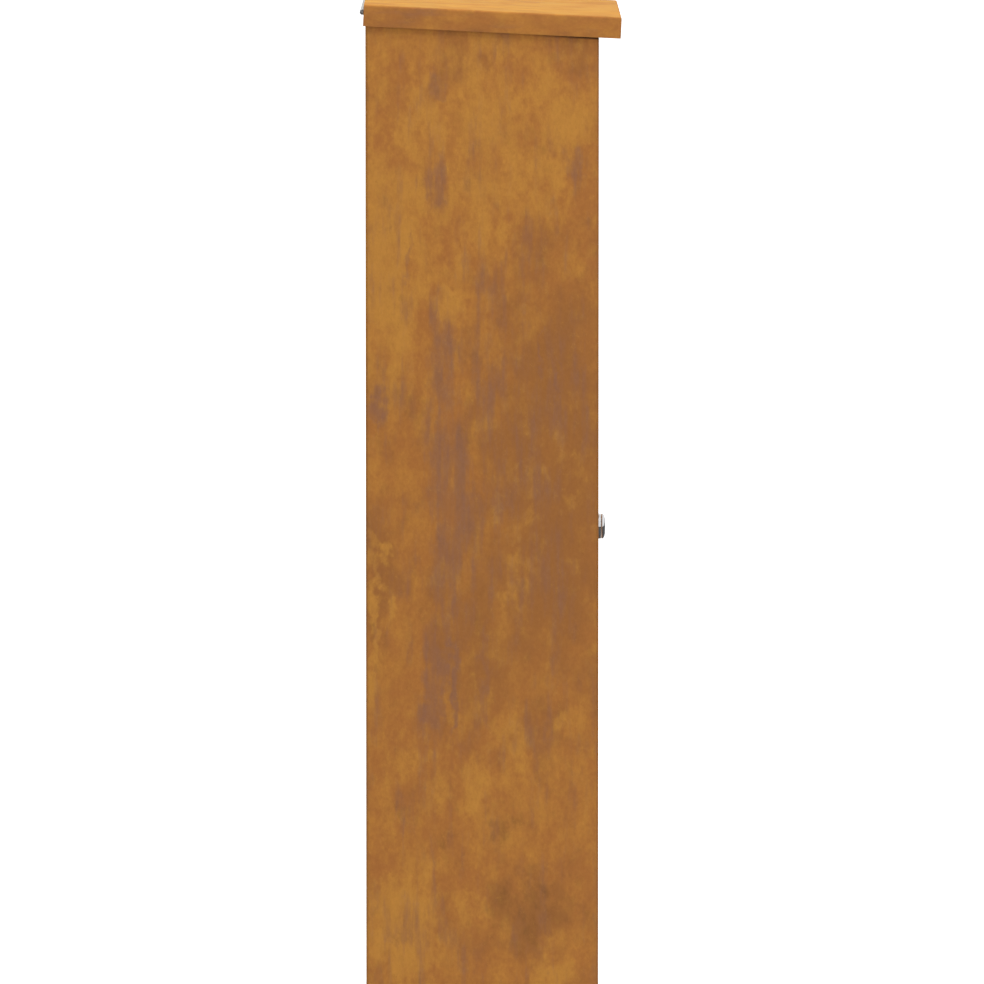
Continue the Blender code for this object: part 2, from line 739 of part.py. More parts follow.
def make_door(door_pivot):
    origin = door_pivot.location
    low = Vector((DOOR_LOCK_SIDE, FRONT, DOOR_BOTTOM)) - origin
    high = Vector((DOOR_HINGE_SIDE, DOOR_BACK, DOOR_TOP)) - origin
    door = folded_tray("door_panel", low, high, (Y_AXIS,), BEND_RADIUS, rusty, door_pivot)

    outline = double_d(BARREL_RADIUS + HOLE_CLEARANCE, BARREL_FLAT + HOLE_CLEARANCE)
    bm = bmesh.new()
    centre = Vector((LOCK_X, FRONT, LOCK_HEIGHT)) - origin
    prism(bm, outline, -CUT_MARGIN, SHEET + CUT_MARGIN, centre, X_AXIS, Z_AXIS, Y_AXIS)
    boolean(door, new_cutter("cut_lock_hole", bm, door_pivot))

    places = [(RIVET_LINE, z - origin.z) for z in DOOR_RIVETS_AT]
    edge = DOOR_HINGE_SIDE - origin.x
    bm = holes_along_x(places, RIVET_HOLE, edge - SHEET - CUT_MARGIN, edge + CUT_MARGIN)
    boolean(door, new_cutter("cut_door_rivets", bm, door_pivot))
    return door


def make_buffer(name, x):
    """A push-in rubber buffer: dome, stem through the flange, bulb behind it."""
    hole_top = GAP / 2
    hole_end = -SHEET - GAP / 2
    dome = BUFFER_HEIGHT
    profile = [
        (0, dome),
        (BUFFER_RADIUS * DOME_CROWN, dome * DOME_RISE),
        (BUFFER_RADIUS, dome * RUBBER_SHOULDER),
        (BUFFER_RADIUS, hole_top),
        (BUFFER_STEM_RADIUS, hole_top),
        (BUFFER_STEM_RADIUS, hole_end),
        (BUFFER_BULB_RADIUS, hole_end),
        (BUFFER_STEM_RADIUS, hole_end - BUFFER_BULB),
        (0, hole_end - BUFFER_BULB),
    ]
    bm = bmesh.new()
    place = (x, BUFFER_Y, HEADER_TOP)
    lathe(bm, profile, SMALL_STEPS, place, Z_AXIS, X_AXIS)
    buffer = new_object(name, bm, rubbery, origin=place)
    smooth(buffer)
    return buffer


def make_pad(name, z):
    """A stick-on rubber pad between a stop lip and the door's back edge."""
    thickness = STOP_FACE - DOOR_BACK - 2 * GAP
    profile = [
        (0, 0),
        (PAD_RADIUS, 0),
        (PAD_RADIUS, thickness * RUBBER_SHOULDER),
        (PAD_RADIUS * PAD_CROWN, thickness),
        (0, thickness),
    ]
    bm = bmesh.new()
    place = (DOOR_LOCK_SIDE + PAD_INSET, STOP_FACE - GAP, z)
    lathe(bm, profile, SMALL_STEPS, place, -Y_AXIS, X_AXIS)
    pad = new_object(name, bm, rubbery, origin=place)
    smooth(pad)
    return pad


def make_lock(door_pivot):
    origin = door_pivot.location
    face = Vector((LOCK_X, FRONT, LOCK_HEIGHT)) - origin
    flange_back = -GAP
    flange_front = -GAP - LOCK_FLANGE
    shoulder = JAMB_END + CAM_CLEARANCE - FRONT - GAP
    barrel_end = shoulder - BARREL_END_SETBACK

    bm = bmesh.new()
    inner = PLUG_RADIUS + HOLE_CLEARANCE
    profile = [
        (inner, flange_front),
        (inner, barrel_end),
        (BARREL_RADIUS, barrel_end),
        (BARREL_RADIUS, flange_back),
        (LOCK_FLANGE_RADIUS, flange_back),
        (LOCK_FLANGE_RADIUS, flange_front + LOCK_FLANGE_ROUND),
        (LOCK_FLANGE_RADIUS - LOCK_FLANGE_ROUND, flange_front),
    ]
    lathe(bm, profile, ROUND_STEPS, face, Y_AXIS, X_AXIS)
    body = new_object("lock_body", bm, chromed, parent=door_pivot)
    bm = bmesh.new()
    for side in (-1, 1):
        near = side * BARREL_FLAT
        far = side * (BARREL_RADIUS + CUT_MARGIN)
        tall = BARREL_RADIUS
        outline = [(near, -tall), (far, -tall), (far, tall), (near, tall)]
        prism(bm, outline, flange_back + GAP / 2, barrel_end + CUT_MARGIN, face, X_AXIS, Z_AXIS, Y_AXIS)
    boolean(body, new_cutter("cut_barrel_flats", bm, door_pivot))
    pivot = face + Z_AXIS * COVER_PIVOT_RISE
    bm = bmesh.new()
    seat = bore(COVER_PIVOT_RADIUS + HOLE_CLEARANCE, SMALL_STEPS)
    deep = flange_front + COVER_PIVOT_DEPTH + GAP
    prism(bm, seat, flange_front - CUT_MARGIN, deep, pivot, X_AXIS, Z_AXIS, Y_AXIS)
    boolean(body, new_cutter("cut_pivot_seat", bm, door_pivot))
    smooth(body)

    bm = bmesh.new()
    washer_at = SHEET + GAP
    hole = BARREL_RADIUS + HOLE_CLEARANCE
    profile = [
        (hole, washer_at),
        (WASHER_RADIUS, washer_at),
        (WASHER_RADIUS, washer_at + WASHER),
        (hole, washer_at + WASHER),
    ]
    lathe(bm, profile, ROUND_STEPS, face, Y_AXIS, X_AXIS)
    washer = new_object("lock_washer", bm, zinced, parent=door_pivot)
    smooth(washer)

    bm = bmesh.new()
    nut_at = washer_at + WASHER + GAP
    prism(bm, circle(NUT_FLAT / cos(pi / 6), 6), nut_at, nut_at + NUT, face, X_AXIS, Z_AXIS, Y_AXIS)
    nut = new_object("lock_nut", bm, zinced, parent=door_pivot)
    bm = bmesh.new()
    low = nut_at - CUT_MARGIN
    high = nut_at + NUT + CUT_MARGIN
    prism(bm, bore(hole, ROUND_STEPS), low, high, face, X_AXIS, Z_AXIS, Y_AXIS)
    boolean(nut, new_cutter("cut_nut_bore", bm, door_pivot))
    smooth(nut)

    make_plug_and_cam(door_pivot, face, flange_front, shoulder)
    make_cover(door_pivot, face, flange_front)


def make_plug_and_cam(door_pivot, face, flange_front, shoulder):
    plug_front = flange_front + PLUG_RECESS
    cam_front = shoulder + GAP
    cam_back = cam_front + CAM_THICKNESS
    drive_end = cam_back - GAP
    screw_hole = SCREW_RADIUS + HOLE_CLEARANCE

    bm = bmesh.new()
    profile = [(0, plug_front), (PLUG_RADIUS, plug_front), (PLUG_RADIUS, shoulder), (0, shoulder)]
    lathe(bm, profile, ROUND_STEPS, face, Y_AXIS, X_AXIS)
    plug = new_object("lock_plug", bm, chromed, origin=face, parent=door_pivot)
    bm = bmesh.new()
    drive = PLUG_DRIVE
    square = [(-drive, -drive), (drive, -drive), (drive, drive), (-drive, drive)]
    prism(bm, square, shoulder - CUT_MARGIN, drive_end, face, X_AXIS, Z_AXIS, Y_AXIS)
    boolean(plug, new_cutter("join_drive", bm, door_pivot), "UNION")
    bm = bmesh.new()
    wide = KEYWAY_WIDTH / 2
    tall = KEYWAY_HEIGHT / 2
    slot = [(-wide, -tall), (wide, -tall), (wide, tall), (-wide, tall)]
    prism(bm, slot, plug_front - CUT_MARGIN, plug_front + KEYWAY_DEPTH, face, X_AXIS, Z_AXIS, Y_AXIS)
    boolean(plug, new_cutter("cut_keyway", bm, door_pivot))
    bm = bmesh.new()
    deep = drive_end - SCREW_LENGTH
    prism(bm, bore(screw_hole, SMALL_STEPS), deep, drive_end + CUT_MARGIN, face, X_AXIS, Z_AXIS, Y_AXIS)
    boolean(plug, new_cutter("cut_screw_hole", bm, door_pivot))
    smooth(plug)

    # The cam hangs straight down when the door is unlocked, its lower end rounded
    bm = bmesh.new()
    tip = arc((0, -CAM_REACH + CAM_HALF_WIDTH), CAM_HALF_WIDTH, pi, 2 * pi, 2 * BEND_STEPS)
    head = arc((0, 0), CAM_HALF_WIDTH, 0, pi, 2 * BEND_STEPS)
    prism(bm, tip + head, cam_front, cam_back, face, X_AXIS, Z_AXIS, Y_AXIS)
    cam = new_object("lock_cam", bm, zinced, origin=face, parent=door_pivot)
    bm = bmesh.new()
    half = PLUG_DRIVE + HOLE_CLEARANCE
    square = [(-half, -half), (half, -half), (half, half), (-half, half)]
    prism(bm, square, cam_front - CUT_MARGIN, cam_back + CUT_MARGIN, face, X_AXIS, Z_AXIS, Y_AXIS)
    boolean(cam, new_cutter("cut_cam_square", bm, door_pivot))
    smooth(cam)

    head_at = cam_back + GAP
    profile = [
        (0, head_at + SCREW_HEAD),
        (SCREW_HEAD_RADIUS * SCREW_CROWN, head_at + SCREW_HEAD * SCREW_RISE),
        (SCREW_HEAD_RADIUS, head_at + SCREW_HEAD * SCREW_SHOULDER),
        (SCREW_HEAD_RADIUS, head_at),
        (SCREW_RADIUS, head_at),
        (SCREW_RADIUS, head_at - SCREW_LENGTH + GAP),
        (0, head_at - SCREW_LENGTH + GAP),
    ]
    bm = bmesh.new()
    lathe(bm, profile, SMALL_STEPS, face, Y_AXIS, X_AXIS)
    screw = new_object("cam_screw", bm, zinced, origin=face, parent=door_pivot)
    smooth(screw)


def make_cover(door_pivot, face, flange_front):
    back = flange_front - GAP
    pivot = face + Z_AXIS * COVER_PIVOT_RISE
    profile = [
        (0, COVER_RECESS),
        (COVER_RECESS_RADIUS, COVER_RECESS),
        (COVER_RECESS_RADIUS, 0),
        (LOCK_FLANGE_RADIUS, 0),
    ]
    steps = 2 * BEND_STEPS
    for i in range(steps + 1):
        turn = pi / 2 * i / steps
        radius = COVER_CROWN_RADIUS + (LOCK_FLANGE_RADIUS - COVER_CROWN_RADIUS) * cos(turn)
        profile.append((radius, COVER_RIM + (COVER_HEIGHT - COVER_RIM) * sin(turn)))
    profile.append((0, COVER_HEIGHT + GAP / 2))
    bm = bmesh.new()
    lathe(bm, profile, ROUND_STEPS, face + Y_AXIS * back, -Y_AXIS, X_AXIS)
    cover = new_object("lock_cover", bm, chromed, origin=pivot, parent=door_pivot)
    bm = bmesh.new()
    hole = bore(COVER_PIVOT_RADIUS + HOLE_CLEARANCE, SMALL_STEPS)
    prism(bm, hole, back - COVER_HEIGHT - CUT_MARGIN, back + CUT_MARGIN, pivot, X_AXIS, Z_AXIS, Y_AXIS)
    boolean(cover, new_cutter("cut_cover_pivot", bm, door_pivot))
    bm = bmesh.new()
    seat = bore(COVER_PIVOT_HEAD_RADIUS + HOLE_CLEARANCE, SMALL_STEPS)
    top = back - COVER_HEIGHT - CUT_MARGIN
    prism(bm, seat, top, back - COVER_PIVOT_SEAT, pivot, X_AXIS, Z_AXIS, Y_AXIS)
    boolean(cover, new_cutter("cut_cover_seat", bm, door_pivot))
    smooth(cover)

    head = back - COVER_PIVOT_SEAT - GAP
    profile = [
        (0, head - COVER_PIVOT_HEAD),
        (COVER_PIVOT_HEAD_RADIUS * COVER_PIVOT_CROWN, head - COVER_PIVOT_HEAD * COVER_PIVOT_CROWN),
        (COVER_PIVOT_HEAD_RADIUS, head),
        (COVER_PIVOT_RADIUS, head),
        (COVER_PIVOT_RADIUS, flange_front + COVER_PIVOT_DEPTH),
        (0, flange_front + COVER_PIVOT_DEPTH),
    ]
    bm = bmesh.new()
    lathe(bm, profile, SMALL_STEPS, pivot, Y_AXIS, X_AXIS)
    rivet = new_object("lock_cover_rivet", bm, chromed, origin=pivot, parent=door_pivot)
    smooth(rivet)


def make_pivot(name, location, tilt=0.0):
    pivot = bpy.data.objects.new(name, None)
    pivot.empty_display_size = 0.02
    pivot.location = location
    pivot.rotation_euler = (tilt, 0, 0)
    bpy.context.collection.objects.link(pivot)
    return pivot


def main():
    clear_scene()
    lid_pivot = make_pivot("lid_pivot", LID_AXIS, LID_TILT)
    door_pivot = make_pivot("door_pivot", (DOOR_AXIS_X, DOOR_AXIS_Y, DOOR_BOTTOM))

    make_body_shell()
    make_front_header()
    make_lower_front_panel()
    make_base_plate()
    make_letter_floor()
    make_floor_ledge("floor_ledge_left", -1)
    make_floor_ledge("floor_ledge_right", 1)
    make_lid(lid_pivot)
    make_lid_hinge(lid_pivot)
    make_door(door_pivot)
    make_door_hinge(door_pivot)
    make_lock(door_pivot)
    make_buffer("lid_bumper_left", -(JAMB - BUFFER_INSET))
    make_buffer("lid_bumper_right", JAMB - BUFFER_INSET)
    make_pad("door_bumper_upper", HEADER_BOTTOM - STOP_LIP / 2)
    make_pad("door_bumper_lower", LOWER_TOP + STOP_LIP / 2)
    bpy.context.view_layer.update()


main()
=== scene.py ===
# %% [markdown]
# # A rusty mailbox column, dressed for a studio picture
#
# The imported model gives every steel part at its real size. This lesson adds what a camera sees:
# the patina of weathering steel, softened sheet edges, weld seams, bright hinge and lock parts,
# a pale studio and a camera that stands where the photographer stood, square to the column's side.

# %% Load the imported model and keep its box
import json
from math import cos, pi, radians, sin, tan

import bmesh
import bpy
from mathutils import Matrix, Vector


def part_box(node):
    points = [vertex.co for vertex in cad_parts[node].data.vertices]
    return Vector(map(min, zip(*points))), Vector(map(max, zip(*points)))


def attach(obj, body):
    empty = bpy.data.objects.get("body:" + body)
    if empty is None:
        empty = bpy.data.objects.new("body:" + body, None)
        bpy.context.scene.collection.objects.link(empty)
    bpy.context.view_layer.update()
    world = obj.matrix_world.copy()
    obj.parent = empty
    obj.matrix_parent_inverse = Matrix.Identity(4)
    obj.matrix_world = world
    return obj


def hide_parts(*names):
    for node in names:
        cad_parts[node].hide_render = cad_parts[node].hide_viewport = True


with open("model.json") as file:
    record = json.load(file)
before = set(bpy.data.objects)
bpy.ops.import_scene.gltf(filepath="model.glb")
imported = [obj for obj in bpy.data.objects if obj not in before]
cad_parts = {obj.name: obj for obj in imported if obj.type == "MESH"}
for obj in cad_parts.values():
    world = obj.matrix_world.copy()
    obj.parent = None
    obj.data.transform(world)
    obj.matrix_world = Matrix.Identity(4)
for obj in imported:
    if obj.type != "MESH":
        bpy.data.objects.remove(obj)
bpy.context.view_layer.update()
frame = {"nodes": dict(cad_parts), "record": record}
nodes = frame["nodes"]

# %% [markdown]
# ## Sizes read from the model
#
# Nothing is typed twice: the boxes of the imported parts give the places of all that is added.
# `corners` returns the lowest and highest corner of a part at rest.

# %% Boxes of the parts that others refer to
def corners(node):
    return [Vector(corner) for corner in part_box(node)]


shell_low, shell_high = corners("body_shell")
lid_high = corners("lid")[1]
header_low, header_high = corners("front_header")
print("shell", shell_low[:], shell_high[:])
print("top of the lid", round(lid_high.z, 4))

# %% [markdown]
# ## The camera
#
# The photo shows the column exactly from its side, with straight uprights and only a sliver of the
# lid's top. A far camera with a long lens keeps the uprights parallel. It looks down a few degrees,
# so the lid's far edge ends just above the picture, as in the photo. The scale is measured on the
# side panel: so many pixels across its depth.

# %% Place the camera by the scale of the side panel
IMAGE = 984
PANEL_LEFT_PX = 365.75
PANEL_RIGHT_PX = 598.6
LID_REAR_TOP_PX = 4.3
FAR = 10.0
LOOK_DOWN = radians(5.18)
SENSOR = 36.0

px_per_m = (PANEL_RIGHT_PX - PANEL_LEFT_PX) / (shell_high.y - shell_low.y)
near_side = shell_low.x
centre_px = IMAGE / 2
aim_y = shell_high.y - (centre_px - PANEL_LEFT_PX) / px_per_m
aim_z = lid_high.z - (centre_px - LID_REAR_TOP_PX) / px_per_m
range_to_aim = FAR / cos(LOOK_DOWN)
focal_px = px_per_m * range_to_aim

camera_data = bpy.data.cameras.new("side_camera")
camera_data.sensor_width = SENSOR
camera_data.lens = focal_px * SENSOR / IMAGE
camera_data.clip_end = 200
camera = bpy.data.objects.new("side_camera", camera_data)
camera.location = (near_side - FAR, aim_y, aim_z + FAR * tan(LOOK_DOWN))
camera.rotation_euler = (pi / 2 - LOOK_DOWN, 0, -pi / 2)
bpy.context.scene.collection.objects.link(camera)
bpy.context.scene.camera = camera
print(f"camera: {px_per_m:.1f} px/m, lens {camera_data.lens:.0f} mm, height {camera.location.z:.3f} m")

# %% [markdown]
# ## Small helpers for node trees
#
# The world, the materials and the grown parts are long chains of the same few nodes. These helpers
# keep each chain readable: `feed` takes either a number or another node's socket, so a recipe reads
# from top to bottom.

# %% Helpers that add one node each
def feed(tree, socket, source):
    if isinstance(source, bpy.types.NodeSocket):
        tree.links.new(source, socket)
    else:
        socket.default_value = source


def add_node(tree, kind, **inputs):
    """One node with its inputs fed by name. Underscores in names stand for spaces."""
    made = tree.nodes.new(kind)
    for label, value in inputs.items():
        feed(tree, made.inputs[label.replace("_", " ")], value)
    return made


def arithmetic(tree, operation, first, second=0.0, kind="ShaderNodeMath"):
    made = tree.nodes.new(kind)
    made.operation = operation
    feed(tree, made.inputs[0], first)
    feed(tree, made.inputs[1], second)
    return made.outputs[0]


def times(tree, first, second):
    return arithmetic(tree, "MULTIPLY", first, second)


def plus(tree, first, second):
    return arithmetic(tree, "ADD", first, second)


def minus(tree, first, second):
    return arithmetic(tree, "SUBTRACT", first, second)


def vector_step(tree, operation, first, second):
    return arithmetic(tree, operation, first, second, "ShaderNodeVectorMath")


def length_of(tree, vector):
    made = tree.nodes.new("ShaderNodeVectorMath")
    made.operation = "LENGTH"
    feed(tree, made.inputs[0], vector)
    return made.outputs["Value"]


def combine(tree, x=0.0, y=0.0, z=0.0):
    return add_node(tree, "ShaderNodeCombineXYZ", X=x, Y=y, Z=z).outputs[0]


def separate(tree, vector):
    return add_node(tree, "ShaderNodeSeparateXYZ", Vector=vector).outputs


def remap(tree, value, low, high, to_low=0.0, to_high=1.0, shape="SMOOTHSTEP"):
    made = add_node(tree, "ShaderNodeMapRange", Value=value, From_Min=low, From_Max=high)
    made.interpolation_type = shape
    feed(tree, made.inputs["To Min"], to_low)
    feed(tree, made.inputs["To Max"], to_high)
    return made.outputs["Result"]


def blend_colour(tree, amount, under, over, mode="MIX"):
    made = tree.nodes.new("ShaderNodeMix")
    made.data_type = "RGBA"
    made.blend_type = mode
    for index, source in ((0, amount), (6, under), (7, over)):
        feed(tree, made.inputs[index], source)
    return made.outputs[2]


print("node helpers ready")

# %% Helpers for groups and materials
def new_group(name, tree_kind, inputs, outputs):
    """A node group with named sockets: inputs is a list of (name, type, default)."""
    group = bpy.data.node_groups.new(name, tree_kind)
    for label, kind, default in inputs:
        socket = group.interface.new_socket(label, in_out="INPUT", socket_type="NodeSocket" + kind)
        if default is not None:
            socket.default_value = default
    for label, kind in outputs:
        group.interface.new_socket(label, in_out="OUTPUT", socket_type="NodeSocket" + kind)
    start = group.nodes.new("NodeGroupInput")
    end = group.nodes.new("NodeGroupOutput")
    return group, start.outputs, end.inputs


def use_group(tree, group, **values):
    """Places a group in a tree. Spaces in socket names are written as underscores."""
    made = tree.nodes.new("ShaderNodeGroup")
    made.node_tree = group
    for label, value in values.items():
        feed(tree, made.inputs[label.replace("_", " ")], value)
    return made.outputs


def new_material(name):
    """A material with nodes: returns it with its tree and the inputs of its shader."""
    material = bpy.data.materials.new(name)
    material.use_nodes = True
    tree = material.node_tree
    return material, tree, tree.nodes["Principled BSDF"].inputs


def object_place(tree):
    return tree.nodes.new("ShaderNodeTexCoord").outputs["Object"]


def add_bump(tree, shader, height, strength, depth):
    bump = add_node(tree, "ShaderNodeBump", Strength=strength, Distance=depth, Height=height)
    feed(tree, shader["Normal"], bump.outputs["Normal"])


def new_object(name, data):
    made = bpy.data.objects.new(name, data)
    bpy.context.scene.collection.objects.link(made)
    return made


def evaluated_mesh(piece):
    """The mesh of a piece with its modifiers applied."""
    bpy.context.view_layer.update()
    evaluated = piece.evaluated_get(bpy.context.evaluated_depsgraph_get())
    return bpy.data.meshes.new_from_object(evaluated)


print("group helpers ready")

# %% [markdown]
# ## The studio
#
# A pale world lights the column from all round, and two large soft lamps add the photo's light:
# one over the lid, one from the camera's side. Two weaker ones light the front and the back, which
# the photo doesn't show. The background is white because the world and the floor are white to the
# camera, not because more light falls on the steel. Bright metal needs something dark to mirror, so
# the floor turns dark grey where a reflection looks at it.

# %% The world
AMBIENT = 0.39
WHITE = (1, 1, 1, 1)
SKY = (1.0, 0.99, 0.975, 1)

scene = bpy.context.scene
scene.view_settings.view_transform = "Standard"

world = bpy.data.worlds.new("pale_studio")
scene.world = world
world.use_nodes = True
tree = world.node_tree
tree.nodes.clear()
paths = tree.nodes.new("ShaderNodeLightPath").outputs
seen = arithmetic(tree, "MAXIMUM", paths["Is Camera Ray"], paths["Is Glossy Ray"])
seen = arithmetic(tree, "MAXIMUM", seen, paths["Is Transmission Ray"])
soft_sky = add_node(tree, "ShaderNodeBackground", Color=SKY, Strength=AMBIENT)
backdrop_sky = add_node(tree, "ShaderNodeBackground", Color=WHITE, Strength=1.0)
choose = add_node(tree, "ShaderNodeMixShader", Fac=seen)
feed(tree, choose.inputs[1], soft_sky.outputs[0])
feed(tree, choose.inputs[2], backdrop_sky.outputs[0])
add_node(tree, "ShaderNodeOutputWorld", Surface=choose.outputs[0])
print("world:", len(tree.nodes), "nodes")

# %% The lamps
# name: (watts, size, place, aim), metres
LAMPS = {
    "lamp_over_the_lid": (102.0, 2.4, (-0.6, -0.2, 3.6), (0, 0, 0.9)),
    "lamp_at_the_front": (24.0, 2.4, (2.2, -3.4, 1.8), (0, 0, 0.6)),
    "lamp_behind": (16.0, 2.4, (2.0, 3.6, 1.8), (0, 0, 0.6)),
    "lamp_at_the_camera_side": (30.0, 3.0, (-4.2, -0.8, 1.5), (0, 0, 0.6)),
}
for name, (watts, size, place, aim) in LAMPS.items():
    lamp_data = bpy.data.lights.new(name, "AREA")
    lamp_data.shape = "SQUARE"
    lamp_data.size = size
    lamp_data.energy = watts
    lamp = new_object(name, lamp_data)
    lamp.location = place
    lamp.rotation_euler = (Vector(aim) - Vector(place)).to_track_quat("-Z", "Y").to_euler()
    lamp.visible_glossy = False
print("lamps:", ", ".join(LAMPS))

# %% The floor
FLOOR_REACH = 90.0
PALE_FLOOR = (0.86, 0.86, 0.86, 1)
MIRRORED_FLOOR = (0.09, 0.09, 0.09, 1)
FLOOR_GLOW = (0.42, 1.0)
GLOW_BETWEEN = (0.6, 4.0)

floor_mesh = bpy.data.meshes.new("studio_floor")
ring = [(x * FLOOR_REACH, y * FLOOR_REACH, 0) for x, y in ((-1, -1), (1, -1), (1, 1), (-1, 1))]
floor_mesh.from_pydata(ring, [], [(0, 1, 2, 3)])
floor = new_object("studio_floor", floor_mesh)
floor_paint, tree, shader = new_material("studio_floor_paint")
feed(tree, shader["Roughness"], 0.9)
feed(tree, shader["Emission Color"], WHITE)
paths = tree.nodes.new("ShaderNodeLightPath").outputs
from_column = length_of(tree, object_place(tree))
glow = remap(tree, from_column, *GLOW_BETWEEN, *FLOOR_GLOW, shape="LINEAR")
feed(tree, shader["Emission Strength"], times(tree, paths["Is Camera Ray"], glow))
in_mirrors = blend_colour(tree, paths["Is Glossy Ray"], PALE_FLOOR, MIRRORED_FLOOR)
feed(tree, shader["Base Color"], in_mirrors)
floor_mesh.materials.append(floor_paint)
print("studio ready")

# %% [markdown]
# ## Effect: mottle
#
# Weathered steel is never one colour. Rain wets it in patches and runs down, so every patch is
# taller than it is wide. This group is a noise whose spots have a real size in metres and are
# pulled downwards. `Value` is the noise itself and `Mask` is its part above a soft threshold.

# %% Shader group: mottle
mottle, given, wanted = new_group(
    "mottle",
    "ShaderNodeTree",
    [
        ("Vector", "Vector", (0, 0, 0)),
        ("Size", "Float", 0.03),
        ("Pull", "Float", 2.0),
        ("Detail", "Float", 5.0),
        ("Grit", "Float", 0.55),
        ("Low", "Float", 0.4),
        ("High", "Float", 0.6),
        ("Offset", "Float", 0.0),
    ],
    [("Value", "Float"), ("Mask", "Float")],
)
tree = mottle
per_metre = arithmetic(tree, "DIVIDE", 1.0, given["Size"])
upright = arithmetic(tree, "DIVIDE", per_metre, given["Pull"])
joined = combine(tree, per_metre, per_metre, upright)
scaled = vector_step(tree, "MULTIPLY", given["Vector"], joined)
shift = combine(tree, given["Offset"], given["Offset"], given["Offset"])
moved = vector_step(tree, "ADD", scaled, shift)
spots = add_node(tree, "ShaderNodeTexNoise", Vector=moved, Scale=1.0)
feed(tree, spots.inputs["Detail"], given["Detail"])
feed(tree, spots.inputs["Roughness"], given["Grit"])
feed(tree, wanted["Value"], spots.outputs["Fac"])
feed(tree, wanted["Mask"], remap(tree, spots.outputs["Fac"], given["Low"], given["High"]))
print("mottle:", len(tree.nodes), "nodes")

# %% [markdown]
# ## Effect: soft patch
#
# Some stains have a place of their own, such as the slate run down the middle of the side. A soft
# patch is an egg-shaped mask round a point. Its edge is ragged because the vector that comes in
# has already been stirred by noise.

# %% Shader group: soft patch
soft_patch, given, wanted = new_group(
    "soft_patch",
    "ShaderNodeTree",
    [
        ("Vector", "Vector", (0, 0, 0)),
        ("Centre", "Vector", (0, 0, 0)),
        ("Radii", "Vector", (1, 1, 1)),
        ("Strength", "Float", 1.0),
    ],
    [("Mask", "Float")],
)
tree = soft_patch
offset = vector_step(tree, "SUBTRACT", given["Vector"], given["Centre"])
relative = vector_step(tree, "DIVIDE", offset, given["Radii"])
inside = remap(tree, length_of(tree, relative), 0.20, 1.35, 1.0, 0.0)
feed(tree, wanted["Mask"], times(tree, inside, given["Strength"]))
print("soft patch:", len(tree.nodes), "nodes")

# %% [markdown]
# ## Effect: patina
#
# The whole finish in one group. It is built like the real crust: russet steel, ochre fields over
# it, slate runs where water has stood longest, dark stains, then small curled flakes and grain.
# Each layer is a threshold over noise plus a field, so a strong field gives broad stains and a weak
# one gives a few ragged islands. A material can add fields of its own through the inputs.

# %% Colours of the patina
OCHRE = (0.500, 0.228, 0.046, 1)
HONEY = (0.445, 0.187, 0.041, 1)
RUSSET = (0.390, 0.152, 0.040, 1)
BROWN = (0.322, 0.130, 0.038, 1)
PLUM = (0.305, 0.131, 0.058, 1)
SLATE = (0.236, 0.119, 0.077, 1)
DARK = (0.195, 0.086, 0.028, 1)
print("seven colours, from", OCHRE[:3], "to", DARK[:3])

# %% Shader group: patina
patina, given, wanted = new_group(
    "patina",
    "ShaderNodeTree",
    [
        ("Vector", "Vector", (0, 0, 0)),
        ("Seed", "Float", 0.0),
        ("Ochre", "Float", 0.0),
        ("Brown", "Float", 0.0),
        ("Slate", "Float", 0.0),
        ("Dark", "Float", 0.0),
        ("Wild", "Float", 1.0),
    ],
    [("Color", "Color"), ("Roughness", "Float"), ("Height", "Float")],
)
tree = patina
place = given["Vector"]


def noise_of(size, pull, offset, detail=5.0, grit=0.6):
    moved = plus(tree, given["Seed"], offset)
    settings = {"Size": size, "Pull": pull, "Detail": detail, "Grit": grit, "Offset": moved}
    return use_group(tree, mottle, Vector=place, **settings)["Value"]


def weighted(*pairs):
    """Adds several values, each times its own share."""
    total = 0.0
    for value, share in pairs:
        total = plus(tree, times(tree, value, share), total)
    return total


def stain(under, level, low, high, most, tone):
    """Lays a tone over a colour, from nothing at the low level to its most at the high one."""
    return blend_colour(tree, remap(tree, level, low, high, 0.0, most), under, tone)


def curled_line(noise, half_width):
    """A thin line that follows the middle level of a noise."""
    off_line = arithmetic(tree, "ABSOLUTE", minus(tree, noise, 0.5))
    return remap(tree, off_line, 0.0, half_width, 1.0, 0.0)


wide = noise_of(0.085, 1.5, 0.0, detail=6.0)
middle = noise_of(0.026, 1.4, 5.3, detail=7.0, grit=0.60)
small = noise_of(0.009, 1.25, 9.9, detail=6.0, grit=0.62)
run = noise_of(0.0095, 3.2, 14.1, detail=6.0, grit=0.58)
long_run = noise_of(0.0085, 6.5, 71.3, detail=5.0, grit=0.50)
thin_run = noise_of(0.0040, 3.6, 19.7, detail=4.0, grit=0.6)
other_wide = noise_of(0.120, 2.2, 27.0, detail=4.0)
other_middle = noise_of(0.030, 1.6, 33.3, detail=7.0, grit=0.62)
tiny = noise_of(0.0038, 1.3, 38.0, detail=4.0, grit=0.6)
grain = noise_of(0.0016, 1.5, 41.0, detail=3.0)

tone = weighted((middle, 0.45), (wide, 0.20), (small, 0.15), (tiny, 0.20))
colour = blend_colour(tree, remap(tree, tone, 0.40, 0.60), RUSSET, HONEY)

brown_field = weighted((other_middle, 0.6), (small, 0.4), (given["Brown"], 0.19))
colour = stain(colour, brown_field, 0.47, 0.70, 0.85, BROWN)
colour = stain(colour, given["Brown"], 0.35, 1.0, 0.40, BROWN)

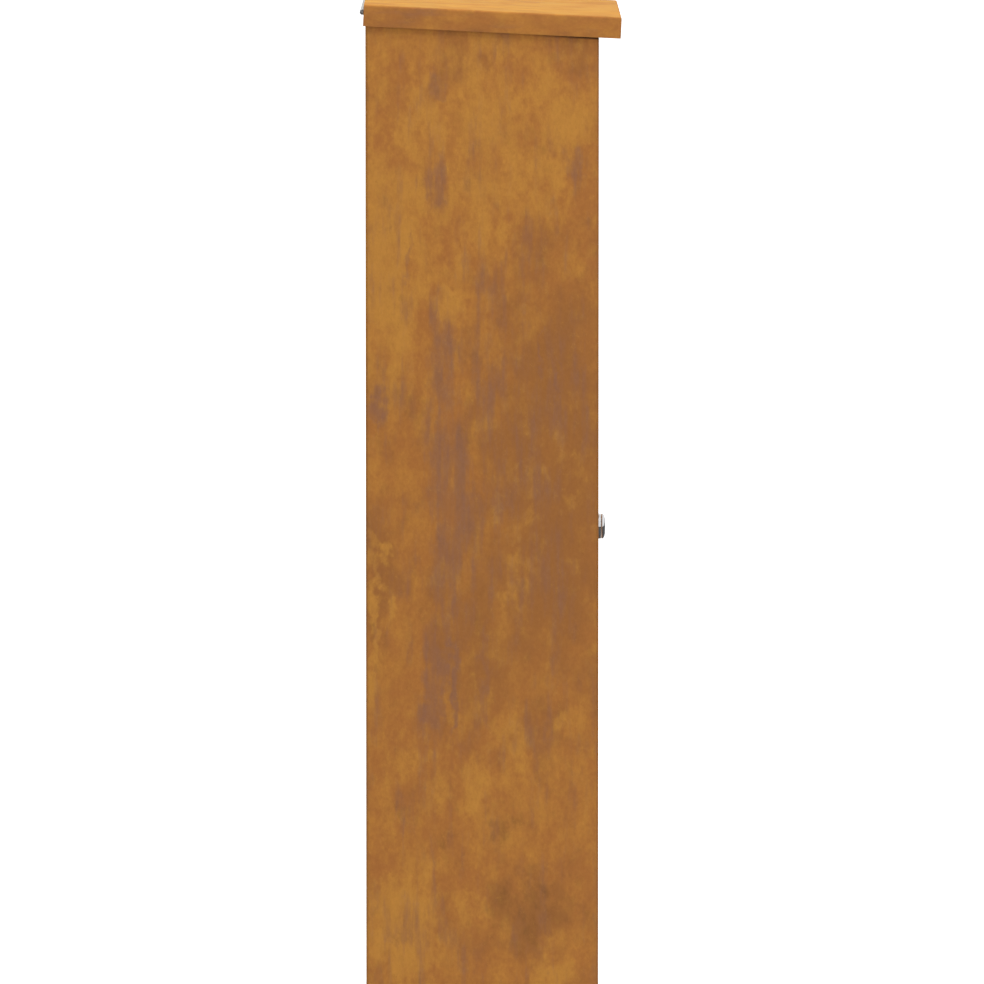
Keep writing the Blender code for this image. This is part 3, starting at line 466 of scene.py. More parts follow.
wild_ochre = times(tree, remap(tree, wide, 0.50, 0.66), given["Wild"])
ochre_field = arithmetic(tree, "MAXIMUM", given["Ochre"], wild_ochre)
ochre_level = weighted((middle, 0.45), (small, 0.35), (run, 0.20), (ochre_field, 0.18))
colour = stain(colour, ochre_level, 0.50, 0.71, 0.85, OCHRE)
colour = stain(colour, given["Ochre"], 0.45, 1.0, 0.50, OCHRE)

wild_slate = times(tree, remap(tree, other_wide, 0.52, 0.72), given["Wild"])
slate_field = arithmetic(tree, "MAXIMUM", given["Slate"], wild_slate)
plum_level = weighted((long_run, 0.50), (other_middle, 0.50), (slate_field, 0.20))
colour = stain(colour, plum_level, 0.50, 0.76, 0.80, PLUM)
slate_level = weighted((long_run, 0.60), (tiny, 0.15), (small, 0.25), (slate_field, 0.20))
colour = stain(colour, slate_level, 0.52, 0.92, 0.85, SLATE)
colour = stain(colour, given["Slate"], 0.40, 1.0, 0.32, PLUM)

dark_level = weighted((small, 0.6), (other_middle, 0.4), (given["Dark"], 0.20))
colour = stain(colour, dark_level, 0.54, 0.84, 0.70, DARK)
colour = stain(colour, thin_run, 0.50, 0.72, 0.12, BROWN)

on_line = curled_line(noise_of(0.0060, 1.2, 52.0, detail=4.0, grit=0.55), 0.016)
flaky = times(tree, remap(tree, small, 0.46, 0.60, 0.0, 0.42), remap(tree, tiny, 0.44, 0.58))
flake = times(tree, on_line, flaky)
colour = blend_colour(tree, flake, colour, OCHRE)
on_line = curled_line(noise_of(0.0075, 1.6, 61.0, detail=4.0, grit=0.55), 0.014)
crack = times(tree, on_line, remap(tree, middle, 0.48, 0.62, 0.0, 0.30))
crack = times(tree, crack, remap(tree, tiny, 0.56, 0.44))
colour = blend_colour(tree, crack, colour, BROWN)

light = weighted((grain, 0.14), (tiny, 0.20), (small, 0.16), (thin_run, 0.04))
light = plus(tree, light, 0.73)
grey = tree.nodes.new("ShaderNodeCombineColor")
for channel in ("Red", "Green", "Blue"):
    feed(tree, grey.inputs[channel], light)
colour = blend_colour(tree, 1.0, colour, grey.outputs[0], "MULTIPLY")
feed(tree, wanted["Color"], colour)
feed(tree, wanted["Roughness"], remap(tree, small, 0.3, 0.7, 0.80, 0.93))
feed(tree, wanted["Height"], weighted((grain, 0.35), (small, 0.9), (flake, 0.5)))
print("patina:", len(tree.nodes), "nodes")

# %% [markdown]
# ## Stains, and one painted shadow, with a place of their own
#
# These marks are read off the photo, each as a soft egg: its tone, its middle and half sizes
# in millimetres on the side panel, and its strength. The depth runs from the front (negative) to
# the back, the height from the ground.

# %% Marks on the side that the camera sees
# name: (depth middle, height middle, half depth, half height, strength), millimetres
SLATE_MARKS = {
    "long_run": (47, 446, 13, 78, 1.00),
    "second_run": (29, 444, 5, 56, 0.75),
    "short_run": (-2, 468, 8, 56, 0.75),
    "band": (30, 600, 32, 120, 0.80),
    "band_top": (36, 745, 26, 70, 0.70),
    "plum_field": (-40, 660, 85, 220, 0.42),
    "high_spot": (42, 928, 15, 30, 0.72),
    "left_edge": (98, 708, 15, 20, 0.80),
    "high_thread": (68, 862, 4, 34, 0.70),
    "front_spot": (-90, 948, 11, 18, 0.50),
    "front_thread": (-55, 754, 3, 44, 0.75),
    "front_second_thread": (-73, 739, 3, 36, 0.65),
    "top_spot": (42, 1023, 10, 15, 0.55),
}
BROWN_MARKS = {
    "under_lid": (11, 1046, 26, 30, 0.85),
    "front_corner": (-92, 1052, 20, 18, 0.85),
    "right_field": (-66, 640, 80, 250, 1.00),
    "lower_field": (-20, 500, 95, 140, 0.70),
    "left_edge": (100, 555, 20, 75, 0.85),
    "foot": (-48, 218, 60, 42, 0.90),
}
DARK_MARKS = {
    # foot_shadow is a painted shadow over the foot, laid in as a dark mark.
    "foot_shadow": (-45, 226, 62, 38, 0.66),
    "foot_spot": (-22, 306, 16, 18, 0.65),
    "low_spot": (21, 267, 14, 20, 0.55),
    "middle_low_spot": (40, 299, 16, 16, 0.50),
    "low_left_spot": (88, 318, 18, 18, 0.45),
}
OCHRE_MARKS = {
    "high_field": (10, 960, 130, 140, 0.68),
    "left_field": (92, 850, 46, 150, 0.90),
    "front_high": (-78, 985, 38, 66, 0.85),
    "middle_spot": (34, 806, 18, 30, 0.90),
    "high_spot": (40, 985, 16, 26, 0.90),
    "left_thread": (106, 500, 6, 110, 0.80),
    "left_fleck": (84, 512, 5, 26, 0.95),
    "middle_fleck": (-15, 609, 5, 16, 0.80),
    "left_streak": (96, 562, 6, 20, 0.85),
    "by_slate": (41, 552, 11, 16, 0.80),
    "under_lock": (-34, 556, 24, 30, 0.45),
    "front_low": (-75, 404, 9, 26, 0.75),
    "middle_low": (-36, 386, 16, 34, 0.75),
    "over_foot": (8, 337, 24, 34, 0.65),
    "in_foot": (8, 226, 24, 15, 0.70),
    "foot_bloom": (76, 212, 48, 72, 1.00),
    "foot_right_bloom": (-72, 160, 28, 28, 0.80),
    "low_field": (20, 360, 100, 60, 0.40),
}
SIDE_MARKS = {"Slate": SLATE_MARKS, "Brown": BROWN_MARKS, "Dark": DARK_MARKS, "Ochre": OCHRE_MARKS}
print({tone: len(eggs) for tone, eggs in SIDE_MARKS.items()}, "marks")

# %% [markdown]
# ## The rust materials
#
# One recipe, several sheets: each piece was laid out from its own plate, so each gets its own seed.
# The vector is stirred a little before the marks are placed, which makes their edges ragged. The
# lid's top is painted yellower and lighter where it looks up, partly a yellower oxide and partly a
# painted sheen of the light from above. The side panel gets painted shade on its folds and a thin
# painted shadow under the lid's flange.

# %% Rust material recipe
# Painted shadow: the colour of the thin dark band under the lid's flange on the side panel.
LID_SHADOW = (0.060, 0.026, 0.012, 1)
LID_SLOPE = 0.0489
LID_LINE = 1.0737
# Colour for up-facing sheet: partly a yellower oxide, partly painted sheen of the light from above.
TOP_BLOOM_AND_SHEEN = (0.505, 0.278, 0.064, 1)
STIR = (0.0, 0.036, 0.085)
def in_plate_axes(tree, place):
    """The lid lies flat, so its patina runs along Y: the second and third axes change places."""
    split = separate(tree, place)
    return combine(tree, split["X"], split["Z"], split["Y"])


def marked_fields(tree, place, marks, fields):
    """The fields of the patina: the strongest mark at each point, or the sheet's own value."""
    noise = add_node(tree, "ShaderNodeTexNoise", Vector=place, Scale=42.0, Detail=4.0, Roughness=0.55)
    centred = vector_step(tree, "SUBTRACT", noise.outputs["Color"], (0.5, 0.5, 0.5))
    stirred = vector_step(tree, "ADD", place, vector_step(tree, "MULTIPLY", centred, STIR))
    sums = {"Ochre": 0.0, "Brown": 0.0, "Slate": 0.0, "Dark": 0.0, **fields}
    for tone, eggs in marks.items():
        for depth, height, half_depth, half_height, strength in eggs.values():
            centre = (shell_low.x, depth / 1000, height / 1000)
            radii = (0.12, half_depth / 1000, half_height / 1000)
            egg = {"Centre": centre, "Radii": radii, "Strength": strength}
            found = use_group(tree, soft_patch, Vector=stirred, **egg)
            sums[tone] = arithmetic(tree, "MAXIMUM", found["Mask"], sums[tone])
    return sums


def painted_fold_shade_and_lid_shadow(tree, place, colour, half_depth):
    """Paints shade on the folds at both edges of the sides, where the bends are also a darker colour,
    and a thin painted shadow under the lid's flange that grows towards the front.
    """
    split = separate(tree, place)
    from_middle = arithmetic(tree, "ABSOLUTE", split["Y"])
    # Painted shade on the bends at the panel's front and back edges, together with a darker colour of
    # the folds.
    fold_shade = remap(tree, from_middle, half_depth - 0.0030, half_depth - 0.0008, 0.0, 0.45)
    sideways = arithmetic(tree, "ABSOLUTE", split["X"])
    on_side = remap(tree, sideways, shell_high.x - 0.0030, shell_high.x - 0.0004)
    colour = blend_colour(tree, times(tree, fold_shade, on_side), colour, DARK)
    # A thin painted shadow just under the line of the lid's flange, stronger towards the front.
    below_lid = minus(tree, split["Z"], times(tree, split["Y"], LID_SLOPE))
    lid_shadow_band = remap(tree, below_lid, LID_LINE - 0.0028, LID_LINE - 0.0008)
    lid_shadow_to_front = remap(tree, split["Y"], -0.03, -half_depth, 0.10, 0.95)
    return blend_colour(tree, times(tree, lid_shadow_band, lid_shadow_to_front), colour, LID_SHADOW)


def top_bloom_and_sheen(tree, place, colour, seed, most):
    """A yellower, lighter tone in soft clouds where the sheet looks up: partly oxide, partly painted
    sheen of the light from above.
    """
    normal = tree.nodes.new("ShaderNodeTexCoord").outputs["Normal"]
    looks_up = remap(tree, separate(tree, normal)["Z"], 0.6, 0.98, 0.0, most)
    cloud = {"Size": 0.045, "Pull": 1.0, "Grit": 0.6, "Low": 0.30, "High": 0.70, "Offset": seed}
    clouds = use_group(tree, mottle, Vector=place, **cloud)
    bloom_and_sheen = times(tree, looks_up, remap(tree, clouds["Mask"], 0.0, 1.0, 0.40, 1.0))
    return blend_colour(tree, bloom_and_sheen, colour, TOP_BLOOM_AND_SHEEN)


def rust_material(name, seed, marks=None, wild=1.0, fold_at=None, bloom_and_sheen=0.0, flat=False, **fields):
    material, tree, shader = new_material(name)
    place = object_place(tree)
    sums = marked_fields(tree, place, marks or {}, fields)
    if marks:
        from_side = separate(tree, place)["X"]
        side = shell_low.x
        past_marks = remap(tree, from_side, side + 0.001, side + 0.012, 0.0, 1.0 - wild)
        wild = plus(tree, past_marks, wild)
    grown_from = in_plate_axes(tree, place) if flat else place
    finish = use_group(tree, patina, Vector=grown_from, Seed=seed, Wild=wild, **sums)
    colour = finish["Color"]
    # The side panel gets painted fold shade and the painted shadow under the lid.
    if fold_at is not None:
        colour = painted_fold_shade_and_lid_shadow(tree, place, colour, fold_at)
    # Yellower, lighter top where the sheet looks up: partly oxide, partly painted sheen.
    if bloom_and_sheen:
        colour = top_bloom_and_sheen(tree, place, colour, seed, bloom_and_sheen)
    feed(tree, shader["Base Color"], colour)
    feed(tree, shader["Roughness"], finish["Roughness"])
    feed(tree, shader["Specular IOR Level"], 0.12)
    add_bump(tree, shader, finish["Height"], strength=0.30, depth=0.0005)
    return material


rust_shell = rust_material("rust_shell", 0.0, SIDE_MARKS, wild=0.22, fold_at=shell_high.y)
rust_lid = rust_material("rust_lid", 5.0, wild=0.9, bloom_and_sheen=0.68, flat=True, Brown=0.30)
rust_door = rust_material("rust_door", 11.0)
rust_header = rust_material("rust_header", 17.0)
rust_foot = rust_material("rust_foot", 23.0)
rust_inside = rust_material("rust_inside", 29.0, Dark=0.4, Brown=0.5)
print("rust materials:", [m.name for m in bpy.data.materials if m.name.startswith("rust")])

# %% [markdown]
# ## Bright metals and rubber
#
# The lock is chrome plated, the hinges are dull stainless steel, the nut, cam and washer are zinc
# plated, and the buffers are black rubber. Handling and dust keep any of them from being perfect:
# a faint noise moves the roughness and the colour.

# %% Metal and rubber recipe
def plain_finish(name, tint, roughness, spread, metallic, grain_size, bump_depth):
    material, tree, shader = new_material(name)
    place = object_place(tree)
    haze = use_group(
        tree, mottle, Vector=place, Size=grain_size * 8, Pull=1.0, Low=0.35, High=0.65, Offset=3.0
    )["Mask"]
    grain = use_group(
        tree, mottle, Vector=place, Size=grain_size, Pull=1.0, Low=0.3, High=0.7, Offset=9.0
    )["Mask"]
    darker = tuple(0.82 * c for c in tint[:3]) + (1,)
    feed(tree, shader["Base Color"], blend_colour(tree, haze, darker, tint))
    rough = remap(tree, plus(tree, haze, grain), 0.0, 2.0, roughness, roughness + spread)
    feed(tree, shader["Roughness"], rough)
    feed(tree, shader["Metallic"], metallic)
    add_bump(tree, shader, grain, strength=0.5, depth=bump_depth)
    return material


chrome = plain_finish("chrome_plate", (0.78, 0.78, 0.79, 1), 0.05, 0.12, 1.0, 0.0015, 0.000005)
stainless = plain_finish("dull_stainless", (0.60, 0.59, 0.57, 1), 0.30, 0.20, 1.0, 0.0008, 0.00002)
zinc = plain_finish("zinc_plate", (0.50, 0.50, 0.47, 1), 0.38, 0.20, 1.0, 0.0012, 0.00002)
rubber = plain_finish("black_rubber", (0.030, 0.030, 0.030, 1), 0.62, 0.25, 0.0, 0.0010, 0.00003)
print("metals ready")

# %% [markdown]
# ## Dressing the sheet parts
#
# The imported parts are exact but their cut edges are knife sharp. Each sheet part gets a copy with
# its loose triangles merged, flat regions joined, and its sharp edges broken by a small bevel that
# catches the light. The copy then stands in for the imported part.

# %% A copy with broken edges
def dressed_copy(node, material, body, edge=0.0003, segments=2):
    mesh = nodes[node].data.copy()
    mesh.name = node + "_dressed"
    bm = bmesh.new()
    bm.from_mesh(mesh)
    bm.transform(nodes[node].matrix_world)
    bmesh.ops.remove_doubles(bm, verts=bm.verts, dist=0.00001)
    bmesh.ops.dissolve_limit(bm, angle_limit=radians(1), verts=bm.verts, edges=bm.edges)
    bm.to_mesh(mesh)
    bm.free()
    mesh.materials.clear()
    mesh.materials.append(material)
    piece = new_object(node + "_dressed", mesh)
    if edge:
        broken = piece.modifiers.new("broken_edges", "BEVEL")
        broken.width = edge
        broken.segments = segments
        broken.limit_method = "ANGLE"
        broken.angle_limit = radians(50)
    mesh.shade_smooth()
    mesh.set_sharp_from_angle(angle=radians(35))
    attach(piece, body)
    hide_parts(node)
    return piece


SHEETS = {
    "body_shell": (rust_shell, "column"),
    "front_header": (rust_header, "column"),
    "lower_front_panel": (rust_foot, "column"),
    "base_plate": (rust_foot, "column"),
    "letter_floor": (rust_inside, "column"),
    "floor_ledge_left": (rust_inside, "column"),
    "floor_ledge_right": (rust_inside, "column"),
    "lid": (rust_lid, "lid"),
    "door_panel": (rust_door, "door"),
}
for node, (material, body) in SHEETS.items():
    piece = dressed_copy(node, material, body)
    print(node, len(piece.data.polygons), "faces before the bevel")

# %% [markdown]
# ## Turned parts
#
# The lock's head and its dust cover are turned from bar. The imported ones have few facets, so finer
# ones stand in for them: a profile of radius and distance is spun round the lock's own axis. The
# barrel's thread is part of the profile, and its two flats come from holding the width to a limit.

# %% Spin a profile round an axis
def finish_mesh(name, bm, material, body, stands_for, sharp=35):
    bmesh.ops.recalc_face_normals(bm, faces=bm.faces)
    mesh = bpy.data.meshes.new(name)
    bm.to_mesh(mesh)
    bm.free()
    mesh.materials.append(material)
    mesh.shade_smooth()
    mesh.set_sharp_from_angle(angle=radians(sharp))
    piece = new_object(name, mesh)
    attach(piece, body)
    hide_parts(*stands_for)
    return piece


def spun(profile, centre, axis, steps=72, limit=None, limit_from=0.0):
    """A closed ring profile, or one that begins and ends on the axis, spun into a bmesh."""
    bm = bmesh.new()
    centre, axis, across = Vector(centre), Vector(axis), Vector((1, 0, 0))
    third = axis.cross(across)
    rings = []
    for radius, distance in profile:
        base = centre + axis * distance
        if radius < 1e-9:
            rings.append([bm.verts.new(base)])
            continue
        ring = []
        for i in range(steps):
            turn = 2 * pi * i / steps
            sideways = radius * cos(turn)
            if limit is not None and distance > limit_from:
                sideways = max(-limit, min(limit, sideways))
            ring.append(bm.verts.new(base + across * sideways + third * (radius * sin(turn))))
        rings.append(ring)
    pairs = list(zip(rings, rings[1:]))
    if len(rings[0]) > 1:
        pairs.append((rings[-1], rings[0]))
    for one, other in pairs:
        for i in range(steps):
            j = (i + 1) % steps
            near = (one[i % len(one)], one[j % len(one)])
            far = (other[j % len(other)], other[i % len(other)])
            bm.faces.new(list(dict.fromkeys(near + far)))
    return bm


def quarter(centre_radius, centre_distance, radius, begin, end, steps=6):
    """Points of a rounded edge in a profile, angles in degrees."""
    turns = [radians(begin + (end - begin) * i / steps) for i in range(steps + 1)]
    return [(centre_radius + radius * cos(t), centre_distance + radius * sin(t)) for t in turns]
def dome(radius, base, height, steps, count, power=1.0):
    """Points from a rim up to the middle. A power under 1 makes the shoulder squarer."""
    turns = [pi / 2 * i / steps for i in range(count)]
    return [(radius * cos(t) ** power, base + height * sin(t)) for t in turns]
lock_low, lock_high = corners("lock_body")
plug_low, plug_high = corners("lock_plug")
cover_low, cover_high = corners("lock_cover")
lock_axis = Vector((plug_low.x + plug_high.x, 0, plug_low.z + plug_high.z)) / 2
print("lock axis at x", round(lock_axis.x, 4), "z", round(lock_axis.z, 4))

# %% The lock's head and threaded barrel
FLANGE = 0.0025
EDGE = 0.0008
THREAD_PITCH = 0.0010
THREAD_DEPTH = 0.0004
BARREL_FLAT = 0.00825
flange_radius = (lock_high.x - lock_low.x) / 2
barrel_radius = 0.0095
bore_radius = (plug_high.x - plug_low.x) / 2 + 0.0003
front = lock_low.y
barrel_end = lock_high.y

profile = [(bore_radius, front + 0.0004), (bore_radius + 0.0004, front)]
profile += quarter(flange_radius - EDGE, front + EDGE, EDGE, -90, 0)
profile += [(flange_radius, front + FLANGE), (barrel_radius - THREAD_DEPTH, front + FLANGE)]
along = front + FLANGE + THREAD_PITCH
while along < barrel_end - THREAD_PITCH:
    profile.append((barrel_radius - THREAD_DEPTH, along))
    profile.append((barrel_radius, along + THREAD_PITCH / 2))
    along += THREAD_PITCH
profile += [(barrel_radius - THREAD_DEPTH, barrel_end), (bore_radius, barrel_end)]
past_head = front + FLANGE + 0.0001
bm = spun(profile, lock_axis, (0, 1, 0), limit=BARREL_FLAT, limit_from=past_head)
finish_mesh("lock_head_and_barrel", bm, chrome, "door", ["lock_body"], sharp=28)
print("lock head:", len(profile), "points in its profile")

# %% [markdown]
# ## Cuts made with a boolean
#
# A hole or a recess is cut from a finished solid with the Boolean modifier, which is then made part
# of the mesh. The cover's pivot sits in such a recess, and so does the cross of the cam screw.

# %% Cut one mesh out of another and keep the result
def cut_out(piece, cutter_bm):
    bmesh.ops.recalc_face_normals(cutter_bm, faces=cutter_bm.faces)
    cutter_mesh = bpy.data.meshes.new("cutter")
    cutter_bm.to_mesh(cutter_mesh)
    cutter_bm.free()
    cutter = new_object("cutter", cutter_mesh)
    cut = piece.modifiers.new("cut", "BOOLEAN")
    cut.object = cutter
    cut.solver = "EXACT"
    made = evaluated_mesh(piece)
    piece.modifiers.remove(cut)
    old = piece.data
    piece.data = made
    made.name = piece.name
    bpy.data.meshes.remove(old)
    bpy.data.objects.remove(cutter)
    bpy.data.meshes.remove(cutter_mesh)


def box_into(bm, low, high):
    made = bmesh.ops.create_cube(bm, size=1.0)["verts"]
    middle = (Vector(low) + Vector(high)) / 2
    size = Vector(high) - Vector(low)
    bmesh.ops.scale(bm, vec=size, verts=made)
    bmesh.ops.translate(bm, vec=middle, verts=made)
    return bm


print("cutting tools ready")

# %% The dust cover, with the recess of its pivot
RIM = 0.0008
CROWN = 0.0055
HOLLOW_RADIUS = 0.0072
HOLLOW = 0.0012
cover_radius = (cover_high.x - cover_low.x) / 2
cover_back = cover_high.y
cover_height = cover_high.y - cover_low.y - 0.00015
pivot_low, pivot_high = corners("lock_cover_rivet")
pivot = (pivot_low + pivot_high) / 2

profile = [(0, HOLLOW), (HOLLOW_RADIUS, HOLLOW), (HOLLOW_RADIUS, 0), (cover_radius - 0.0002, 0)]
for i in range(25):
    turn = pi / 2 * i / 24
    radius = CROWN + (cover_radius - CROWN) * cos(turn)
    profile.append((radius, RIM + (cover_height - RIM) * sin(turn)))
profile.append((0, cover_height + 0.0001))
centre = Vector((lock_axis.x, cover_back, lock_axis.z))
bm = spun(profile, centre, (0, -1, 0), steps=96)
cover = finish_mesh("dust_cover_dome", bm, chrome, "dust_cover", ["lock_cover"], sharp=40)
hole = [(0, -0.001), (0.0015, -0.001), (0.0015, 0.0013), (0.0024, 0.0013), (0.0024, 0.006), (0, 0.006)]
bm = spun(hole, (pivot.x, cover_back, pivot.z), (0, -1, 0), steps=40)
cut_out(cover, bm)

head_top = cover_back - pivot_low.y
pivot_foot = cover_back - pivot_high.y
profile = [(0, pivot_foot), (0.0012, pivot_foot), (0.0012, head_top - 0.0008)]
profile += dome(0.0021, head_top - 0.0008, 0.0008, 8, 9)
bm = spun(profile, (pivot.x, cover_back, pivot.z), (0, -1, 0), steps=40)
finish_mesh("dust_cover_pivot", bm, chrome, "door", ["lock_cover_rivet"])
print("cover:", len(cover.data.polygons), "faces")

# %% [markdown]
# ## Nut, washer, cam and screw
#
# Behind the door the lock is held by a thin nut on a washer, and a cam is screwed to the end of its
# plug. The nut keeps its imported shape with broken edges. The cam is drawn again with truly round
# ends and a square hole, and the screw gets its round head and the cross that a driver fits in.

# %% Dress the parts behind the door
dressed_copy("lock_nut", zinc, "door", edge=0.00025)
dressed_copy("lock_plug", chrome, "lock_cylinder", edge=0.00008, segments=1)

washer_low, washer_high = corners("lock_washer")
radius = (washer_high.x - washer_low.x) / 2
hole = barrel_radius + 0.0003
profile = [(hole, washer_low.y), (radius - 0.0002, washer_low.y), (radius, washer_low.y + 0.0002)]
profile += [(radius, washer_high.y - 0.0002), (radius - 0.0002, washer_high.y), (hole, washer_high.y)]
bm = spun(profile, lock_axis, (0, 1, 0))
finish_mesh("lock_washer_ring", bm, zinc, "door", ["lock_washer"])

screw_low, screw_high = corners("cam_screw")
head_radius = (screw_high.x - screw_low.x) / 2
head_back = screw_high.y - 0.003
profile = [(0, screw_low.y), (0.0018, screw_low.y), (0.0022, screw_low.y + 0.0004), (0.0022, head_back)]
profile.append((head_radius - 0.0001, head_back))
profile += dome(head_radius, head_back, 0.003, 12, 12, 0.6)
profile.append((0, screw_high.y))
bm = spun(profile, lock_axis, (0, 1, 0), steps=48)
screw = finish_mesh("cam_screw_head", bm, zinc, "lock_cylinder", ["cam_screw"])
CROSS_REACH = 0.0024
CROSS_HALF = 0.0005
CROSS_FLOOR = screw_high.y - 0.0016
for half_x, half_z in ((CROSS_REACH, CROSS_HALF), (CROSS_HALF, CROSS_REACH)):
    low = (lock_axis.x - half_x, CROSS_FLOOR, lock_axis.z - half_z)
    high = (lock_axis.x + half_x, screw_high.y + 0.001, lock_axis.z + half_z)
    cut_out(screw, box_into(bmesh.new(), low, high))
print("screw head:", len(screw.data.polygons), "faces")

# %% Draw the cam
CAM_EASE = 0.00025
CAM_SQUARE = 0.0040
cam_low, cam_high = corners("lock_cam")
half_width = (cam_high.x - cam_low.x) / 2
tip_height = cam_low.z + half_width


def cam_ring(bm, inset, depth):
    """One outline of the cam: a half circle round the plug and another round its tip."""
    radius = half_width - inset
    ring = []
    for middle, begin in ((lock_axis.z, 0), (tip_height, pi)):
        for i in range(33):
            turn = begin + pi * i / 32
            place = (lock_axis.x + radius * cos(turn), depth, middle + radius * sin(turn))
            ring.append(bm.verts.new(place))
    return ring


bm = bmesh.new()
steps = [(CAM_EASE, cam_low.y), (0, cam_low.y + CAM_EASE)]
steps += [(0, cam_high.y - CAM_EASE), (CAM_EASE, cam_high.y)]
rings = [cam_ring(bm, inset, depth) for inset, depth in steps]
for one, other in zip(rings, rings[1:]):
    for i in range(len(one)):
        j = (i + 1) % len(one)
        bm.faces.new((one[i], one[j], other[j], other[i]))
bm.faces.new(rings[0])
bm.faces.new(rings[-1])
cam = finish_mesh("lock_cam_rounded", bm, zinc, "lock_cylinder", ["lock_cam"])
square_low = (lock_axis.x - CAM_SQUARE, cam_low.y - 0.001, lock_axis.z - CAM_SQUARE)
square_high = (lock_axis.x + CAM_SQUARE, cam_high.y + 0.001, lock_axis.z + CAM_SQUARE)
cut_out(cam, box_into(bmesh.new(), square_low, square_high))
print("cam:", len(cam.data.polygons), "faces")

# %% [markdown]
# ## Rubber buffers
#
# Two buffers push into the header for the lid to rest on, and two pads stick to the stop lips for
# the door. All four are round and soft edged, so each is one spun profile.

# %% Spin the buffers and the pads
for side in ("left", "right"):
    low, high = corners("lid_bumper_" + side)
    middle = (low + high) / 2
    wide = (high.x - low.x) / 2
    top = high.z - low.z
    seat = top - 0.005
    profile = [(0, 0), (0.0022, 0), (0.0025, 0.0003), (0.0036, 0.0030), (0.0025, 0.0030)]
    profile += [(0.0025, seat + 0.0001), (wide - 0.0003, seat + 0.0001), (wide, seat + 0.0004)]
    profile += dome(wide, seat + 0.0015, 0.0035, 12, 12, 0.7)
    profile.append((0, top))
    bm = spun(profile, (middle.x, middle.y, low.z), (0, 0, 1), steps=48)
    finish_mesh("lid_buffer_" + side, bm, rubber, "column", ["lid_bumper_" + side])

for place in ("upper", "lower"):
    low, high = corners("door_bumper_" + place)
    middle = (low + high) / 2
    wide = (high.x - low.x) / 2
    thick = high.y - low.y
    profile = [(0, 0), (wide, 0)] + quarter(wide - 0.0010, thick - 0.0010, 0.0010, 0, 90) + [(0, thick)]
    bm = spun(profile, (middle.x, high.y, middle.z), (0, -1, 0), steps=48)
    finish_mesh("door_pad_" + place, bm, rubber, "column", ["door_bumper_" + place])
print("four rubber parts")

# %% [markdown]
# ## Geometry Nodes: how the repeats are grown
#
# What repeats is grown by a node tree: the script writes the tree once with named inputs, and each
# use sets the inputs. The result is then made a plain mesh, so that it can ride on its body.

# %% Helpers for Geometry Nodes
def moved_by(tree, geometry, **inputs):
    return add_node(tree, "GeometryNodeTransform", Geometry=geometry, **inputs).outputs[0]


def set_on(tree, points, instance, **inputs):
    kind = "GeometryNodeInstanceOnPoints"
    return add_node(tree, kind, Points=points, Instance=instance, **inputs).outputs[0]


def joined_up(tree, *parts):
    made = tree.nodes.new("GeometryNodeJoinGeometry")
    for part in parts:
        tree.links.new(part, made.inputs[0])
    return made.outputs[0]

def grow(name, group, points, material, settings, sharp=35):
    """Runs a geometry group on a list of points and keeps the result as a plain mesh object."""
    mesh = bpy.data.meshes.new(name)
    mesh.from_pydata([tuple(p) for p in points], [], [])
    piece = new_object(name, mesh)
    modifier = piece.modifiers.new(group.name, "NODES")
    modifier.node_group = group
    for item in group.interface.items_tree:
        if item.item_type == "SOCKET" and item.in_out == "INPUT":
            value = material if item.name == "Material" else settings.get(item.name)
            if value is not None:
                modifier[item.identifier] = value
    made = evaluated_mesh(piece)
    piece.modifiers.clear()
    piece.data = made
    made.name = name
    bpy.data.meshes.remove(mesh)
    made.shade_smooth()
    made.set_sharp_from_angle(angle=radians(sharp))
    print(name, len(made.polygons), "faces")
    return piece


def close_with_material(tree, geometry, material, wanted):
    """Every tree ends the same way: real geometry, then its material."""
    real = add_node(tree, "GeometryNodeRealizeInstances", Geometry=geometry)
    painted = add_node(tree, "GeometryNodeSetMaterial", Geometry=real.outputs[0], Material=material)
    tree.links.new(painted.outputs[0], wanted["Geometry"])


print("geometry helpers ready")

# %% [markdown]
# ## Rivets
#
# Fifteen rivets hold the hinge leaves. One tree makes a rivet along Z, a domed head, a shank and a
# flatter set tail, and sets a copy on every point it is given, turned into the sheet.

# %% Geometry group: rivets
rivets, given, wanted = new_group(
    "rivets",
    "GeometryNodeTree",
    [
        ("Geometry", "Geometry", None),
        ("Head Radius", "Float", 0.003),
        ("Head Height", "Float", 0.0008),
        ("Tail Radius", "Float", 0.0026),
        ("Tail Height", "Float", 0.001),
        ("Shank Radius", "Float", 0.0016),
        ("Grip", "Float", 0.0036),
        ("Turn", "Vector", (0, 0, 0)),
        ("Material", "Material", None),
    ],
    [("Geometry", "Geometry")],
)
tree = rivets
ball = add_node(tree, "GeometryNodeMeshUVSphere", Segments=32, Rings=16, Radius=1.0).outputs["Mesh"]
head_size = combine(tree, given["Head Radius"], given["Head Radius"], given["Head Height"])
head = moved_by(tree, ball, Scale=head_size)
tail_size = combine(tree, given["Tail Radius"], given["Tail Radius"], given["Tail Height"])
tail_place = combine(tree, z=times(tree, given["Grip"], -1.0))
tail = moved_by(tree, ball, Scale=tail_size, Translation=tail_place)
shank = add_node(tree, "GeometryNodeMeshCylinder", Vertices=24, Radius=given["Shank Radius"])
feed(tree, shank.inputs["Depth"], given["Grip"])
shank_place = combine(tree, z=times(tree, given["Grip"], -0.5))
shank = moved_by(tree, shank.outputs["Mesh"], Translation=shank_place)
rivet = moved_by(tree, joined_up(tree, head, tail, shank), Rotation=given["Turn"])
copies = set_on(tree, given["Geometry"], rivet)
close_with_material(tree, copies, given["Material"], wanted)
print("rivets:", len(tree.nodes), "nodes")

# %% Set the rivets of both hinges
HEAD = 0.0008
TAIL = 0.0010


